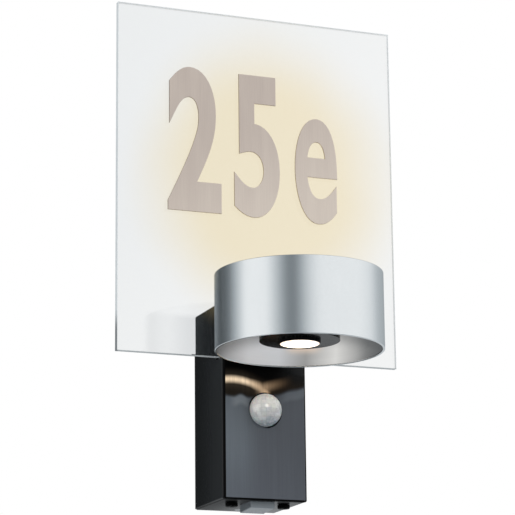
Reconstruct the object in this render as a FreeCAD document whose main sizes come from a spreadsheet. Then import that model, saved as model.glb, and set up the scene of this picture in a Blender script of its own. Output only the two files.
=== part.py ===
import FreeCAD, Part
import math
import os
import types

import Sketcher

# Outdoor wall light: a black upright box housing with a motion sensor in its front panel, a short
# round aluminium lamp head that shines up and down, and a clear glass number pane that stands in
# a slot of the housing, behind the head.
# Frame: millimetres, +Z up, the wall is the plane y = 0 and the light faces -Y. The origin is the
# middle of the wall plate's screw pattern, at half the housing's height.

# Driving sizes, one sheet cell each.
DRIVING_SIZES = {
    "housing_width": 58.0,
    "housing_height": 132.5,
    "housing_depth": 52.7,
    "housing_wall": 2.5,
    "housing_edge_radius": 1.6,
    "rim_bevel": 0.5,
    "gasket_thickness": 2.0,
    "gasket_width": 3.6,
    "gasket_inset": 0.7,
    "panel_gap": 0.8,
    "panel_thickness": 2.5,
    "panel_chamfer": 0.8,
    "panel_corner_radius": 1.2,
    "panel_seat_inset": 2.2,
    "glass_width": 200.0,
    "glass_height": 240.5,
    "glass_thickness": 5.0,
    "glass_setback": 8.0,
    "glass_overlap": 37.2,
    "glass_clearance": 0.3,
    "glass_edge_chamfer": 0.5,
    "glass_notch_clearance": 2.6,
    "rest_pad_width": 9.0,
    "rest_pad_thickness": 1.2,
    "rest_pad_offset": 20.5,
    "clamp_pad_radius": 3.6,
    "clamp_pad_thickness": 1.2,
    "clamp_screw_radius": 2.0,
    "clamp_screw_length": 6.5,
    "clamp_screw_offset": 20.0,
    "slot_back_wall": 3.0,
    "head_radius": 54.4,
    "head_height": 50.0,
    "head_wall": 1.5,
    "head_edge": 0.3,
    "head_gap": 6.7,
    "head_drop": 20.05,
    "rim_setback": 0.8,
    "reflector_thickness": 0.8,
    "reflector_depth": 9.2,
    "reflector_lip": 4.2,
    "holder_radius": 25.9,
    "holder_proud": 2.7,
    "holder_collar_depth": 3.5,
    "holder_flange_radius": 34.0,
    "holder_flange_thickness": 3.0,
    "aperture_radius": 7.0,
    "lens_radius": 12.6,
    "lens_drop": 2.0,
    "lens_rise": 1.0,
    "lens_seat_depth": 3.6,
    "lens_collar_wall": 0.8,
    "board_radius": 20.0,
    "board_thickness": 1.6,
    "emitter_radius": 5.5,
    "emitter_thickness": 1.0,
    "core_boss_radius": 34.0,
    "core_plate_thickness": 4.0,
    "core_rim_height": 30.0,
    "core_rim_thickness": 3.0,
    "core_rib_thickness": 2.0,
    "core_rib_height": 14.0,
    "core_bore_radius": 4.0,
    "neck_radius": 17.0,
    "neck_tube_radius": 8.0,
    "neck_bore_radius": 4.0,
    "neck_thread_reach": 8.5,
    "neck_seal_thickness": 1.0,
    "neck_hole_clearance": 0.4,
    "neck_nut_width": 22.0,
    "neck_nut_thickness": 5.0,
    "neck_screw_radius": 2.0,
    "neck_screw_length": 11.0,
    "neck_screw_head_radius": 3.5,
    "neck_screw_head_height": 2.6,
    "neck_screw_offset": 11.0,
    "sensor_below_head": 52.9,
    "dome_radius": 11.0,
    "dome_wall": 1.0,
    "dome_flange_width": 2.6,
    "dome_flange_thickness": 1.2,
    "bezel_width": 0.8,
    "bezel_proud": 0.4,
    "sensor_board_width": 40.0,
    "sensor_board_rise": 12.0,
    "sensor_board_gap": 9.0,
    "sensor_board_thickness": 1.6,
    "pir_radius": 4.6,
    "pir_height": 4.5,
    "carrier_width": 47.0,
    "carrier_plate_thickness": 2.5,
    "carrier_shelf_thickness": 2.0,
    "carrier_shelf_rise": 4.6,
    "carrier_rim": 2.0,
    "foot_width": 16.8,
    "foot_depth": 19.6,
    "foot_setback": 6.4,
    "foot_front_height": 4.2,
    "foot_back_height": 5.3,
    "foot_stem_inset": 2.3,
    "foot_edge": 0.4,
    "dial_spacing": 36.8,
    "dial_setback": 15.4,
    "dial_radius": 4.1,
    "dial_height": 2.6,
    "dial_chamfer": 0.5,
    "dial_slot_width": 1.0,
    "dial_slot_depth": 1.1,
    "dial_shaft_radius": 2.0,
    "dial_shaft_length": 13.5,
    "dial_clip_radius": 3.3,
    "dial_clip_thickness": 0.8,
    "potentiometer_width": 9.5,
    "potentiometer_height": 6.0,
    "wall_plate_width": 44.0,
    "wall_plate_margin": 5.75,
    "wall_plate_thickness": 2.0,
    "wall_plate_corner_radius": 4.0,
    "flange_width": 24.0,
    "flange_depth": 12.0,
    "fixing_inset": 16.0,
    "fixing_slot_width": 4.5,
    "fixing_slot_length": 8.0,
    "ledge_depth": 5.0,
    "lock_screw_radius": 2.0,
    "lock_screw_length": 9.0,
    "lock_screw_head_radius": 3.8,
    "lock_screw_setback": 8.0,
    "grommet_radius": 9.0,
    "grommet_groove": 1.5,
    "grommet_bore_radius": 4.5,
    "grommet_rise": 2.4,
    "terminal_width": 34.0,
    "terminal_depth": 14.0,
    "terminal_height": 17.0,
    "terminal_drop": 24.0,
    "terminal_wire_radius": 2.0,
    "terminal_screw_radius": 1.8,
    "earth_screw_radius": 2.0,
    "earth_screw_head_radius": 3.6,
    "earth_screw_rise": 20.0,
    "driver_width": 38.0,
    "driver_depth": 15.5,
    "driver_gap": 3.0,
    "driver_edge": 1.5,
    "driver_lug": 6.0,
    "small_screw_radius": 1.4,
    "small_screw_head_radius": 2.6,
    "small_screw_head_height": 1.6,
    "fit_clearance": 0.1,
    "running_clearance": 0.05,
    "joint_clearance": 0.3,
    "seat_clearance": 0.3,
    "cut_overrun": 3.0,
}

FULL_TURN = 360.0
SINK_TAPER = -45.0
RIB_COUNT = 8
HEXAGON_SIDES = 6
HEXAGON_FLATS_RATIO = math.sqrt(3)
TERMINAL_POLES = 3
BOTH_SIDES = (-1, 1)

# Shares of the piece's own size.
WINDOW_FRAME_SHARE = 3.0
TERMINAL_WIRE_SHARE = 1 / 3
TERMINAL_SCREW_SHARE = 1 / 4
TERMINAL_SEAT_SHARE = 1 / 6
FOOT_WALL_SHARE = 2.0
LEDGE_SLOPE_SHARE = 2.0


class Size:
    """A length that remembers the sheet formula that gives it."""

    def __init__(self, value, formula):
        self.value = value
        self.formula = formula

    def __add__(self, other):
        return Size(self.value + number(other), f"({self.formula} + {formula(other)})")

    def __radd__(self, other):
        return Size(number(other) + self.value, f"({formula(other)} + {self.formula})")

    def __sub__(self, other):
        return Size(self.value - number(other), f"({self.formula} - {formula(other)})")

    def __rsub__(self, other):
        return Size(number(other) - self.value, f"({formula(other)} - {self.formula})")

    def __mul__(self, other):
        return Size(self.value * number(other), f"({self.formula} * {formula(other)})")

    def __rmul__(self, other):
        return self * other

    def __truediv__(self, other):
        return Size(self.value / number(other), f"({self.formula} / {formula(other)})")

    def __neg__(self):
        return Size(-self.value, f"(0 - {self.formula})")


def number(size):
    return size.value if isinstance(size, Size) else float(size)


def formula(size):
    return size.formula if isinstance(size, Size) else repr(float(size))


def fill_sheet(document):
    """Write each driving size into the sheet and return them all by name."""
    sheet = document.addObject("Spreadsheet::Sheet", "sizes")
    sizes = types.SimpleNamespace()
    for row, (alias, value) in enumerate(DRIVING_SIZES.items(), start=1):
        sheet.set(f"A{row}", alias.replace("_", " "))
        sheet.set(f"B{row}", str(value))
        sheet.setAlias(f"B{row}", alias)
        setattr(sizes, alias, Size(value, f"sizes.{alias}"))
    document.recompute()
    return sizes


doc = FreeCAD.newDocument("wall_light")
dim = fill_sheet(doc)

# Planes and heights that several pieces share, from the wall outwards and from the bottom up.
rim_back_y = -dim.gasket_thickness
rim_front_y = rim_back_y - dim.housing_depth
seat_y = rim_front_y - dim.panel_gap
panel_front_y = seat_y - dim.panel_thickness
front_wall_y = rim_front_y + dim.housing_wall
half_width = dim.housing_width / 2
half_height = dim.housing_height / 2
inner_half_width = half_width - dim.housing_wall
inner_half_height = half_height - dim.housing_wall

glass_front_y = panel_front_y + dim.glass_setback
glass_back_y = glass_front_y + dim.glass_thickness
slot_front_y = glass_front_y - dim.glass_clearance
slot_back_y = glass_back_y + dim.clamp_pad_thickness
slot_wall_y = slot_back_y + dim.slot_back_wall
glass_bottom_z = half_height - dim.glass_overlap
slot_floor_z = glass_bottom_z - dim.rest_pad_thickness
partition_z = slot_floor_z - dim.housing_wall

head_y = panel_front_y - dim.head_gap - dim.head_radius
head_z = half_height - dim.head_drop
head_half = dim.head_height / 2
head_inner_radius = dim.head_radius - dim.head_wall
holder_face_depth = dim.reflector_depth - dim.holder_proud
holder_back_depth = dim.reflector_depth + dim.holder_collar_depth + dim.holder_flange_thickness
board_back_depth = holder_back_depth + dim.board_thickness
boss_half = head_half - board_back_depth
neck_back_y = seat_y - dim.neck_seal_thickness
neck_end_y = slot_wall_y + dim.neck_thread_reach
screw_seat_y = head_y + head_inner_radius - dim.fit_clearance - dim.core_rim_thickness
neck_hole_radius = dim.neck_radius + dim.neck_hole_clearance

sensor_z = head_z - dim.sensor_below_head
dome_flange_y = front_wall_y + dim.dome_flange_thickness
sensor_hole_radius = dim.dome_radius + dim.fit_clearance * 2 + dim.bezel_width
board_front_y = dome_flange_y + dim.seat_clearance
board_back_y = board_front_y + dim.sensor_board_thickness
carrier_front_y = board_back_y + dim.fit_clearance
carrier_back_y = carrier_front_y + dim.carrier_plate_thickness
shelf_low_z = dim.carrier_shelf_rise - inner_half_height
shelf_top_z = shelf_low_z + dim.carrier_shelf_thickness
adjuster_top_z = shelf_top_z + dim.potentiometer_height
board_top_z = sensor_z + dim.sensor_board_rise
carrier_top_z = board_top_z + dim.carrier_rim
foot_front_y = panel_front_y + dim.foot_setback
foot_back_y = foot_front_y + dim.foot_depth
dial_y = panel_front_y + dim.dial_setback
dial_top_z = -half_height - dim.joint_clearance
plate_half_height = inner_half_height - dim.wall_plate_margin
fixing_z = plate_half_height - dim.fixing_inset
plate_front_y = -dim.wall_plate_thickness


def bind(thing, path, size):
    """Tie one property to the sheet, or leave it at nought."""
    thing.setExpression(path, formula(size))


def place(thing, x=0, y=0, z=0):
    for axis, size in zip("xyz", (x, y, z)):
        bind(thing, f"Placement.Base.{axis}", size)
    return thing


def new_body(label):
    body = doc.addObject("PartDesign::Body", label)
    body.Label = label
    return body


def new_sketch(body, name, role, shift=0):
    """A sketch on one of the body's own planes, moved along that plane's normal."""
    sketch = body.newObject("Sketcher::SketchObject", f"{body.Label}_{name}")
    plane = next(f for f in body.Origin.OriginFeatures if f.Role == role)
    sketch.AttachmentSupport = [(plane, "")]
    sketch.MapMode = "FlatFace"
    bind(sketch, "AttachmentOffset.Base.z", shift)
    return sketch


def constrain(sketch, constraint, size):
    index = sketch.addConstraint(constraint)
    sketch.setExpression(f"Constraints[{index}]", formula(size))


def pin_point(sketch, geometry, end, point):
    """Give a point its two coordinates from the sheet."""
    x, y = point
    constrain(sketch, Sketcher.Constraint("DistanceX", -1, 1, geometry, end, number(x)), x)
    constrain(sketch, Sketcher.Constraint("DistanceY", -1, 1, geometry, end, number(y)), y)


def arc_between(start, end, radius, left):
    """The short arc from start to end whose centre lies left (or right) of the way there."""
    first = FreeCAD.Vector(number(start[0]), number(start[1]), 0)
    last = FreeCAD.Vector(number(end[0]), number(end[1]), 0)
    chord = last - first
    reach = math.sqrt(max(number(radius) ** 2 - (chord.Length / 2) ** 2, 0.0))
    side = FreeCAD.Vector(-chord.y, chord.x, 0).normalize() * (reach if left else -reach)
    centre = (first + last) / 2 + side
    begin, finish = (first, last) if left else (last, first)
    angles = [math.atan2(p.y - centre.y, p.x - centre.x) for p in (begin, finish)]
    circle = Part.Circle(centre, FreeCAD.Vector(0, 0, 1), number(radius))
    return Part.ArcOfCircle(circle, angles[0], angles[1])


def outline(sketch, points, arcs=None):
    """A closed outline. arcs gives the radius and the centre's side for the edges that are round."""
    arcs = arcs or {}
    first = sketch.GeometryCount
    ends = []
    for index, point in enumerate(points):
        following = points[(index + 1) % len(points)]
        if index in arcs:
            radius, left = arcs[index]
            geometry = sketch.addGeometry(arc_between(point, following, radius, left), False)
            constrain(sketch, Sketcher.Constraint("Radius", geometry, number(radius)), radius)
            ends.append((1, 2) if left else (2, 1))
        else:
            start = FreeCAD.Vector(number(point[0]), number(point[1]), 0)
            stop = FreeCAD.Vector(number(following[0]), number(following[1]), 0)
            sketch.addGeometry(Part.LineSegment(start, stop), False)
            ends.append((1, 2))
    for index, point in enumerate(points):
        before = (index - 1) % len(points)
        joined = Sketcher.Constraint(
            "Coincident", first + before, ends[before][1], first + index, ends[index][0]
        )
        sketch.addConstraint(joined)
        pin_point(sketch, first + index, ends[index][0], point)
    return sketch


def rectangle(sketch, low_x, high_x, low_y, high_y):
    corners = [(low_x, low_y), (high_x, low_y), (high_x, high_y), (low_x, high_y)]
    return outline(sketch, corners)


def circle(sketch, x, y, radius):
    centre = FreeCAD.Vector(number(x), number(y), 0)
    round_edge = Part.Circle(centre, FreeCAD.Vector(0, 0, 1), number(radius))
    geometry = sketch.addGeometry(round_edge, False)
    constrain(sketch, Sketcher.Constraint("Radius", geometry, number(radius)), radius)
    pin_point(sketch, geometry, 3, (x, y))
    return sketch


def long_hole(sketch, middle_y, length, width):
    """An upright slot with round ends, centred on the sketch's own upright axis."""
    radius = width / 2
    reach = length / 2
    round_start = reach - radius
    return outline(
        sketch,
        [
            (radius, middle_y - round_start),
            (radius, middle_y + round_start),
            (0, middle_y + reach),
            (-radius, middle_y + round_start),
            (-radius, middle_y - round_start),
            (0, middle_y - reach),
        ],
        arcs={1: (radius, True), 2: (radius, True), 4: (radius, True), 5: (radius, True)},
    )


def add_feature(body, kind, name, profile, **settings):
    feature = body.newObject(f"PartDesign::{kind}", f"{body.Label}_{name}")
    feature.Profile = profile
    for key, value in settings.items():
        setattr(feature, key, value)
    return feature


def pad(body, name, profile, length, backwards=False):
    """Raise a profile along its sketch's normal, or against it."""
    feature = add_feature(body, "Pad", name, profile, Reversed=backwards)
    bind(feature, "Length", length)
    doc.recompute()
    return feature


def pocket(body, name, profile, length, along=True):
    """Cut a profile along its sketch's normal, or against it."""
    before = body.Shape.Volume
    feature = add_feature(body, "Pocket", name, profile, Reversed=along)
    bind(feature, "Length", length)
    doc.recompute()
    if not body.Shape.Volume < before:
        raise RuntimeError(f"{feature.Label} cuts nothing")
    return feature


def revolve(body, name, profile, axis="V_Axis"):
    feature = add_feature(body, "Revolution", name, profile, Angle=FULL_TURN)
    feature.ReferenceAxis = (profile, [axis])
    doc.recompute()
    return feature


def edges_where(body, test):
    """Names of the body's edges whose end points all pass a test on their coordinates."""
    names = []
    for index, edge in enumerate(body.Tip.Shape.Edges, start=1):
        if len(edge.Vertexes) == 2 and all(test(v.Point) for v in edge.Vertexes):
            names.append(f"Edge{index}")
    return names


def lengthwise(body, edge_names, length):
    """Those of the named edges that have a given length."""
    shape = body.Tip.Shape
    return [name for name in edge_names if near(shape.getElement(name).Length, length)]


def dress(body, kind, name, edge_names, size):
    """A fillet or chamfer on edges of the body's last feature."""
    base = body.Tip
    feature = body.newObject(f"PartDesign::{kind}", f"{body.Label}_{name}")
    feature.Base = (base, edge_names)
    bind(feature, "Radius" if kind == "Fillet" else "Size", size)
    doc.recompute()
    return feature


def turn_pattern(body, name, feature, count):
    """Repeat a feature round the body's own upright axis."""
    pattern = body.newObject("PartDesign::PolarPattern", f"{body.Label}_{name}")
    pattern.Originals = [feature]
    pattern.Axis = (next(f for f in body.Origin.OriginFeatures if f.Role == "Z_Axis"), [""])
    pattern.Angle = FULL_TURN
    pattern.Occurrences = count
    body.Tip = pattern
    doc.recompute()
    return pattern


def near(value, target):
    return abs(value - number(target)) < number(dim.fit_clearance) / 2


# Ways that a plain solid may point, as turns of the upright one.
UPRIGHT = FreeCAD.Rotation()
TO_WALL = FreeCAD.Rotation(FreeCAD.Vector(0, 0, 1), FreeCAD.Vector(0, 1, 0))
TO_FRONT = FreeCAD.Rotation(FreeCAD.Vector(0, 0, 1), FreeCAD.Vector(0, -1, 0))
DOWNWARD = FreeCAD.Rotation(FreeCAD.Vector(0, 0, 1), FreeCAD.Vector(0, 0, -1))


def block(label, low, size):
    """A box from its low corner and its three sides."""
    box = doc.addObject("Part::Box", label)
    box.Label = label
    for side, length in zip(("Length", "Width", "Height"), size):
        bind(box, side, length)
    return place(box, *low)


def rod(label, base, radius, length, way=UPRIGHT):
    """A cylinder from the centre of its first end."""
    cylinder = doc.addObject("Part::Cylinder", label)
    cylinder.Label = label
    bind(cylinder, "Radius", radius)
    bind(cylinder, "Height", length)
    cylinder.Placement = FreeCAD.Placement(FreeCAD.Vector(), way)
    return place(cylinder, *base)


def cone(label, base, first_radius, last_radius, length, way=UPRIGHT):
    taper = doc.addObject("Part::Cone", label)
    taper.Label = label
    bind(taper, "Radius1", first_radius)
    bind(taper, "Radius2", last_radius)
    bind(taper, "Height", length)
    taper.Placement = FreeCAD.Placement(FreeCAD.Vector(), way)
    return place(taper, *base)


def hexagon(label, base, across, length, way=UPRIGHT):
    """A hexagonal bar, given by its width across the flats."""
    bar = doc.addObject("Part::Prism", label)
    bar.Label = label
    bar.Polygon = HEXAGON_SIDES
    bind(bar, "Circumradius", across / HEXAGON_FLATS_RATIO)
    bind(bar, "Height", length)
    bar.Placement = FreeCAD.Placement(FreeCAD.Vector(), way)
    return place(bar, *base)


def joined(label, *pieces):
    fuse = doc.addObject("Part::MultiFuse", label)
    fuse.Label = label
    fuse.Shapes = list(pieces)
    return fuse


def holed(label, piece, *tools):
    """A piece with one or more tools cut out of it."""
    tool = tools[0] if len(tools) == 1 else joined(f"{label}_tools", *tools)
    cut = doc.addObject("Part::Cut", label)
    cut.Label = label
    cut.Base = piece
    cut.Tool = tool
    return cut


def group(label, pieces):
    """Alike pieces that stay separate solids under one name."""
    compound = doc.addObject("Part::Compound", label)
    compound.Label = label
    compound.Links = list(pieces)
    return compound


def screw(label, seat, way, radius, length, head_radius, head_height, head_way):
    """A plain pan-head screw from the face under its head."""
    shank = rod(f"{label}_shank", seat, radius, length, way)
    head = rod(f"{label}_head", seat, head_radius, head_height, head_way)
    return joined(label, shank, head)


def housing():
    """Deep box, open to the wall, with the pane's slot across its upper half."""
    body = new_body("housing")
    outer = new_sketch(body, "outer", "XZ_Plane", dim.gasket_thickness)
    rectangle(outer, -half_width, half_width, -half_height, half_height)
    pad(body, "shell", outer, dim.housing_depth)
    corners = edges_where(body, lambda p: near(abs(p.x), half_width) and near(abs(p.z), half_height))
    dress(body, "Fillet", "edges", lengthwise(body, corners, dim.housing_depth), dim.housing_edge_radius)
    rim = edges_where(body, lambda p: near(p.y, rim_front_y))
    dress(body, "Chamfer", "rim_bevel", rim, dim.rim_bevel)

    space = new_sketch(body, "space", "XZ_Plane", -rim_back_y)
    rectangle(space, -inner_half_width, inner_half_width, -inner_half_height, inner_half_height)
    pocket(body, "wiring_space", space, rim_back_y - slot_wall_y)
    deep = new_sketch(body, "deep", "XZ_Plane", -slot_wall_y)
    rectangle(deep, -inner_half_width, inner_half_width, -inner_half_height, partition_z)
    pocket(body, "sensor_space", deep, slot_wall_y - front_wall_y)

    slot = new_sketch(body, "slot", "YZ_Plane", -half_width - dim.cut_overrun)
    rectangle(slot, slot_front_y, slot_back_y, slot_floor_z, half_height + dim.cut_overrun)
    pocket(body, "pane_slot", slot, dim.housing_width + dim.cut_overrun * 2)

    seat = new_sketch(body, "seat", "XZ_Plane", -rim_front_y)
    inset_x = half_width - dim.panel_seat_inset
    inset_z = half_height - dim.panel_seat_inset
    rectangle(seat, -inset_x, inset_x, -inset_z, inset_z)
    pad(body, "panel_seat", seat, dim.panel_gap)

    ledge = new_sketch(body, "ledge", "YZ_Plane", -dim.flange_width / 2)
    ledge_front = plate_front_y - dim.flange_depth
    outline(
        ledge,
        [
            (ledge_front, inner_half_height),
            (ledge_front, plate_half_height + dim.seat_clearance),
            (ledge_front + dim.ledge_depth, plate_half_height + dim.seat_clearance),
            (ledge_front + dim.ledge_depth * LEDGE_SLOPE_SHARE, inner_half_height),
        ],
    )
    pad(body, "hanging_ledge", ledge, dim.flange_width)

    holes = new_sketch(body, "sensor_profile", "XZ_Plane", -seat_y + dim.cut_overrun)
    circle(holes, 0, sensor_z, sensor_hole_radius)
    pocket(body, "sensor_hole", holes, dim.housing_wall + dim.panel_gap + dim.cut_overrun * 2, along=False)
    tube = new_sketch(body, "tube_hole", "XZ_Plane", -seat_y + dim.cut_overrun)
    circle(tube, 0, head_z, dim.neck_tube_radius + dim.fit_clearance)
    pocket(body, "neck_hole", tube, slot_wall_y - seat_y + dim.cut_overrun * 2, along=False)
    clamps = new_sketch(body, "clamp_holes", "XZ_Plane", -slot_wall_y - dim.cut_overrun)
    for side in BOTH_SIDES:
        circle(clamps, dim.clamp_screw_offset * side, head_z, dim.clamp_screw_radius)
    pocket(body, "clamp_threads", clamps, dim.slot_back_wall + dim.cut_overrun)

    below = new_sketch(body, "bottom_profile", "XY_Plane", -half_height - dim.cut_overrun)
    for side in BOTH_SIDES:
        bore = dim.dial_shaft_radius + dim.running_clearance
        circle(below, dim.dial_spacing / 2 * side, dial_y, bore)
    stem_x = dim.foot_width / 2 - dim.foot_stem_inset + dim.fit_clearance
    stem_front = foot_front_y + dim.foot_stem_inset - dim.fit_clearance
    stem_back = foot_back_y - dim.foot_stem_inset + dim.fit_clearance
    rectangle(below, -stem_x, stem_x, stem_front, stem_back)
    lock_y = rim_back_y - dim.lock_screw_setback
    circle(below, 0, lock_y, dim.lock_screw_radius + dim.fit_clearance)
    pocket(body, "bottom_holes", below, dim.housing_wall + dim.cut_overrun * 2)
    sink = new_sketch(body, "screw_sink", "XY_Plane", -half_height)
    circle(sink, 0, lock_y, dim.lock_screw_head_radius + dim.fit_clearance)
    feature = add_feature(body, "Pocket", "screw_sink_cut", sink, Reversed=True)
    bind(feature, "Length", dim.lock_screw_head_radius - dim.lock_screw_radius)
    feature.TaperAngle = SINK_TAPER
    doc.recompute()
    return body


def front_panel():
    """Bevelled panel on the housing's front seat, open for the neck and the sensor."""
    body = new_body("front_panel")
    face = new_sketch(body, "face", "XZ_Plane", -seat_y)
    rectangle(face, -half_width, half_width, -half_height, half_height)
    pad(body, "plate", face, dim.panel_thickness)
    corners = edges_where(body, lambda p: near(abs(p.x), half_width) and near(abs(p.z), half_height))
    dress(body, "Fillet", "corners", lengthwise(body, corners, dim.panel_thickness), dim.panel_corner_radius)
    front = edges_where(body, lambda p: near(p.y, panel_front_y))
    dress(body, "Chamfer", "bevel", front, dim.panel_chamfer)
    holes = new_sketch(body, "holes", "XZ_Plane", -seat_y)
    circle(holes, 0, head_z, neck_hole_radius)
    circle(holes, 0, sensor_z, sensor_hole_radius)
    pocket(body, "openings", holes, dim.panel_thickness + dim.cut_overrun)
    return body


def wall_gasket():
    """Flat sealing frame between the housing's rim and the wall."""
    body = new_body("wall_gasket")
    frame = new_sketch(body, "frame", "XZ_Plane")
    out_x, out_z = half_width - dim.gasket_inset, half_height - dim.gasket_inset
    in_x, in_z = out_x - dim.gasket_width, out_z - dim.gasket_width
    rectangle(frame, -out_x, out_x, -out_z, out_z)
    rectangle(frame, -in_x, in_x, -in_z, in_z)
    pad(body, "seal", frame, dim.gasket_thickness)
    return body


def wall_plate():
    """Plate that is screwed to the wall, with a flange at its top and its bottom."""
    body = new_body("wall_plate")
    half_plate = dim.wall_plate_width / 2
    face = new_sketch(body, "face", "XZ_Plane")
    rectangle(face, -half_plate, half_plate, -plate_half_height, plate_half_height)
    pad(body, "plate", face, dim.wall_plate_thickness)
    corners = edges_where(body, lambda p: near(abs(p.x), half_plate) and near(abs(p.z), plate_half_height))
    across = lengthwise(body, corners, dim.wall_plate_thickness)
    dress(body, "Fillet", "corners", across, dim.wall_plate_corner_radius)
    flange = new_sketch(body, "flange", "YZ_Plane", -dim.flange_width / 2)
    reach = plate_front_y - dim.flange_depth
    for side in BOTH_SIDES:
        top = plate_half_height * side
        low = top - dim.wall_plate_thickness * side
        rectangle(flange, reach, plate_front_y, *((low, top) if side > 0 else (top, low)))
    pad(body, "flanges", flange, dim.flange_width)
    holes = new_sketch(body, "holes", "XZ_Plane")
    circle(holes, 0, 0, dim.grommet_radius - dim.grommet_groove)
    circle(holes, 0, dim.earth_screw_rise, dim.earth_screw_radius)
    for side in BOTH_SIDES:
        long_hole(holes, fixing_z * side, dim.fixing_slot_length, dim.fixing_slot_width)
    pocket(body, "openings", holes, dim.wall_plate_thickness)
    thread = new_sketch(body, "thread", "XY_Plane", -plate_half_height)
    circle(thread, 0, rim_back_y - dim.lock_screw_setback, dim.lock_screw_radius)
    pocket(body, "lock_thread", thread, dim.wall_plate_thickness)
    return body


def cable_grommet():
    """Rubber grommet that lines the wall plate's cable hole."""
    body = new_body("cable_grommet")
    profile = new_sketch(body, "profile", "XZ_Plane")
    neck = dim.grommet_radius - dim.grommet_groove
    front = dim.wall_plate_thickness + dim.grommet_rise
    bore = dim.grommet_bore_radius
    outline(
        profile,
        [
            (bore, 0),
            (neck, 0),
            (neck, dim.wall_plate_thickness),
            (dim.grommet_radius, dim.wall_plate_thickness),
            (dim.grommet_radius, front - dim.grommet_groove / 2),
            (dim.grommet_radius - dim.grommet_groove / 2, front),
            (bore, front),
        ],
    )
    revolve(body, "ring", profile)
    body.Placement = FreeCAD.Placement(FreeCAD.Vector(), TO_FRONT)
    return body


def glass_plate():
    """Clear number pane, notched below so that it drops over the neck's tube."""
    body = new_body("glass_plate")
    face = new_sketch(body, "face", "XZ_Plane", -glass_back_y)
    edge = dim.glass_width / 2
    top = glass_bottom_z + dim.glass_height
    rectangle(face, -edge, edge, glass_bottom_z, top)
    pad(body, "pane", face, dim.glass_thickness)
    flat = edges_where(body, lambda p: near(p.y, glass_front_y))
    flat += edges_where(body, lambda p: near(p.y, glass_back_y))
    dress(body, "Chamfer", "ground_edges", flat, dim.glass_edge_chamfer)
    notch = new_sketch(body, "notch", "XZ_Plane", -glass_back_y)
    radius = dim.neck_tube_radius + dim.glass_notch_clearance
    outline(
        notch,
        [
            (-radius, glass_bottom_z - dim.cut_overrun),
            (radius, glass_bottom_z - dim.cut_overrun),
            (radius, head_z),
            (0, head_z + radius),
            (-radius, head_z),
        ],
        arcs={2: (radius, True), 3: (radius, True)},
    )
    pocket(body, "neck_notch", notch, dim.glass_thickness)
    return body


def glass_rest_pads():
    """Two soft pads in the slot's floor, under the pane."""
    pads = []
    for side in BOTH_SIDES:
        low_x = dim.rest_pad_offset * side - dim.rest_pad_width / 2
        size = (dim.rest_pad_width, dim.glass_thickness, dim.rest_pad_thickness)
        pads.append(block(f"rest_pad_{side + 1}", (low_x, glass_front_y, slot_floor_z), size))
    return group("glass_rest_pads", pads)


def glass_clamps():
    """Two screws in the slot's rear wall that press the pane forwards through soft pads."""
    pads, screws = [], []
    for side in BOTH_SIDES:
        x = dim.clamp_screw_offset * side
        start = (x, glass_back_y, head_z)
        thickness = dim.clamp_pad_thickness
        pads.append(rod(f"clamp_pad_{side + 1}", start, dim.clamp_pad_radius, thickness, TO_WALL))
        seat = (x, slot_back_y, head_z)
        length = dim.clamp_screw_length
        screws.append(rod(f"clamp_screw_{side + 1}", seat, dim.clamp_screw_radius, length, TO_WALL))
    return group("glass_clamp_pads", pads), group("glass_clamp_screws", screws)


def head_neck():
    """Round neck with a saddle for the head, and the tube that goes through the housing's slot."""
    body = new_body("head_neck")
    profile = new_sketch(body, "round", "XZ_Plane", -neck_back_y)
    circle(profile, 0, head_z, dim.neck_radius)
    pad(body, "block", profile, neck_back_y - head_y - dim.head_radius + dim.neck_radius / 2)
    saddle = new_sketch(body, "saddle", "XY_Plane", head_z - dim.neck_radius - dim.cut_overrun)
    circle(saddle, 0, head_y, dim.head_radius)
    pocket(body, "saddle_cut", saddle, (dim.neck_radius + dim.cut_overrun) * 2)
    tube = new_sketch(body, "tube", "XZ_Plane", -neck_back_y)
    circle(tube, 0, head_z, dim.neck_tube_radius)
    pad(body, "threaded_tube", tube, neck_end_y - neck_back_y, backwards=True)
    bore = new_sketch(body, "bore", "XZ_Plane", -neck_end_y)
    circle(bore, 0, head_z, dim.neck_bore_radius)
    pocket(body, "cable_bore", bore, neck_end_y - head_y)
    threads = new_sketch(body, "threads", "XZ_Plane", -head_y)
    for side in BOTH_SIDES:
        circle(threads, 0, head_z + dim.neck_screw_offset * side, dim.neck_screw_radius)
    depth = screw_seat_y - head_y + dim.neck_screw_length + dim.seat_clearance
    pocket(body, "screw_threads", threads, depth, along=False)
    return body


def neck_fixings():
    """Seal, nut and screws that hold the neck to the housing and the head to the neck."""
    seal_start = (0, neck_back_y, head_z)
    ring = rod("neck_seal_disc", seal_start, dim.neck_radius, dim.neck_seal_thickness, TO_WALL)
    start = (0, neck_back_y - dim.cut_overrun, head_z)
    through = dim.neck_seal_thickness + dim.cut_overrun * 2
    hole = rod("neck_seal_hole", start, dim.neck_tube_radius + dim.fit_clearance, through, TO_WALL)
    seal = holed("neck_seal", ring, hole)

    nut_seat = (0, slot_wall_y, head_z)
    bar = hexagon("neck_nut_bar", nut_seat, dim.neck_nut_width, dim.neck_nut_thickness, TO_WALL)
    through = dim.neck_nut_thickness + dim.cut_overrun * 2
    start = (0, slot_wall_y - dim.cut_overrun, head_z)
    hole = rod("neck_nut_hole", start, dim.neck_tube_radius + dim.fit_clearance, through, TO_WALL)
    nut = holed("neck_nut", bar, hole)

    screws = []
    for side in BOTH_SIDES:
        seat = (0, screw_seat_y, head_z + dim.neck_screw_offset * side)
        screws.append(
            screw(
                f"neck_screw_{side + 1}",
                seat,
                TO_WALL,
                dim.neck_screw_radius,
                dim.neck_screw_length,
                dim.neck_screw_head_radius,
                dim.neck_screw_head_height,
                TO_FRONT,
            )
        )
    return seal, nut, group("neck_screws", screws)


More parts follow.
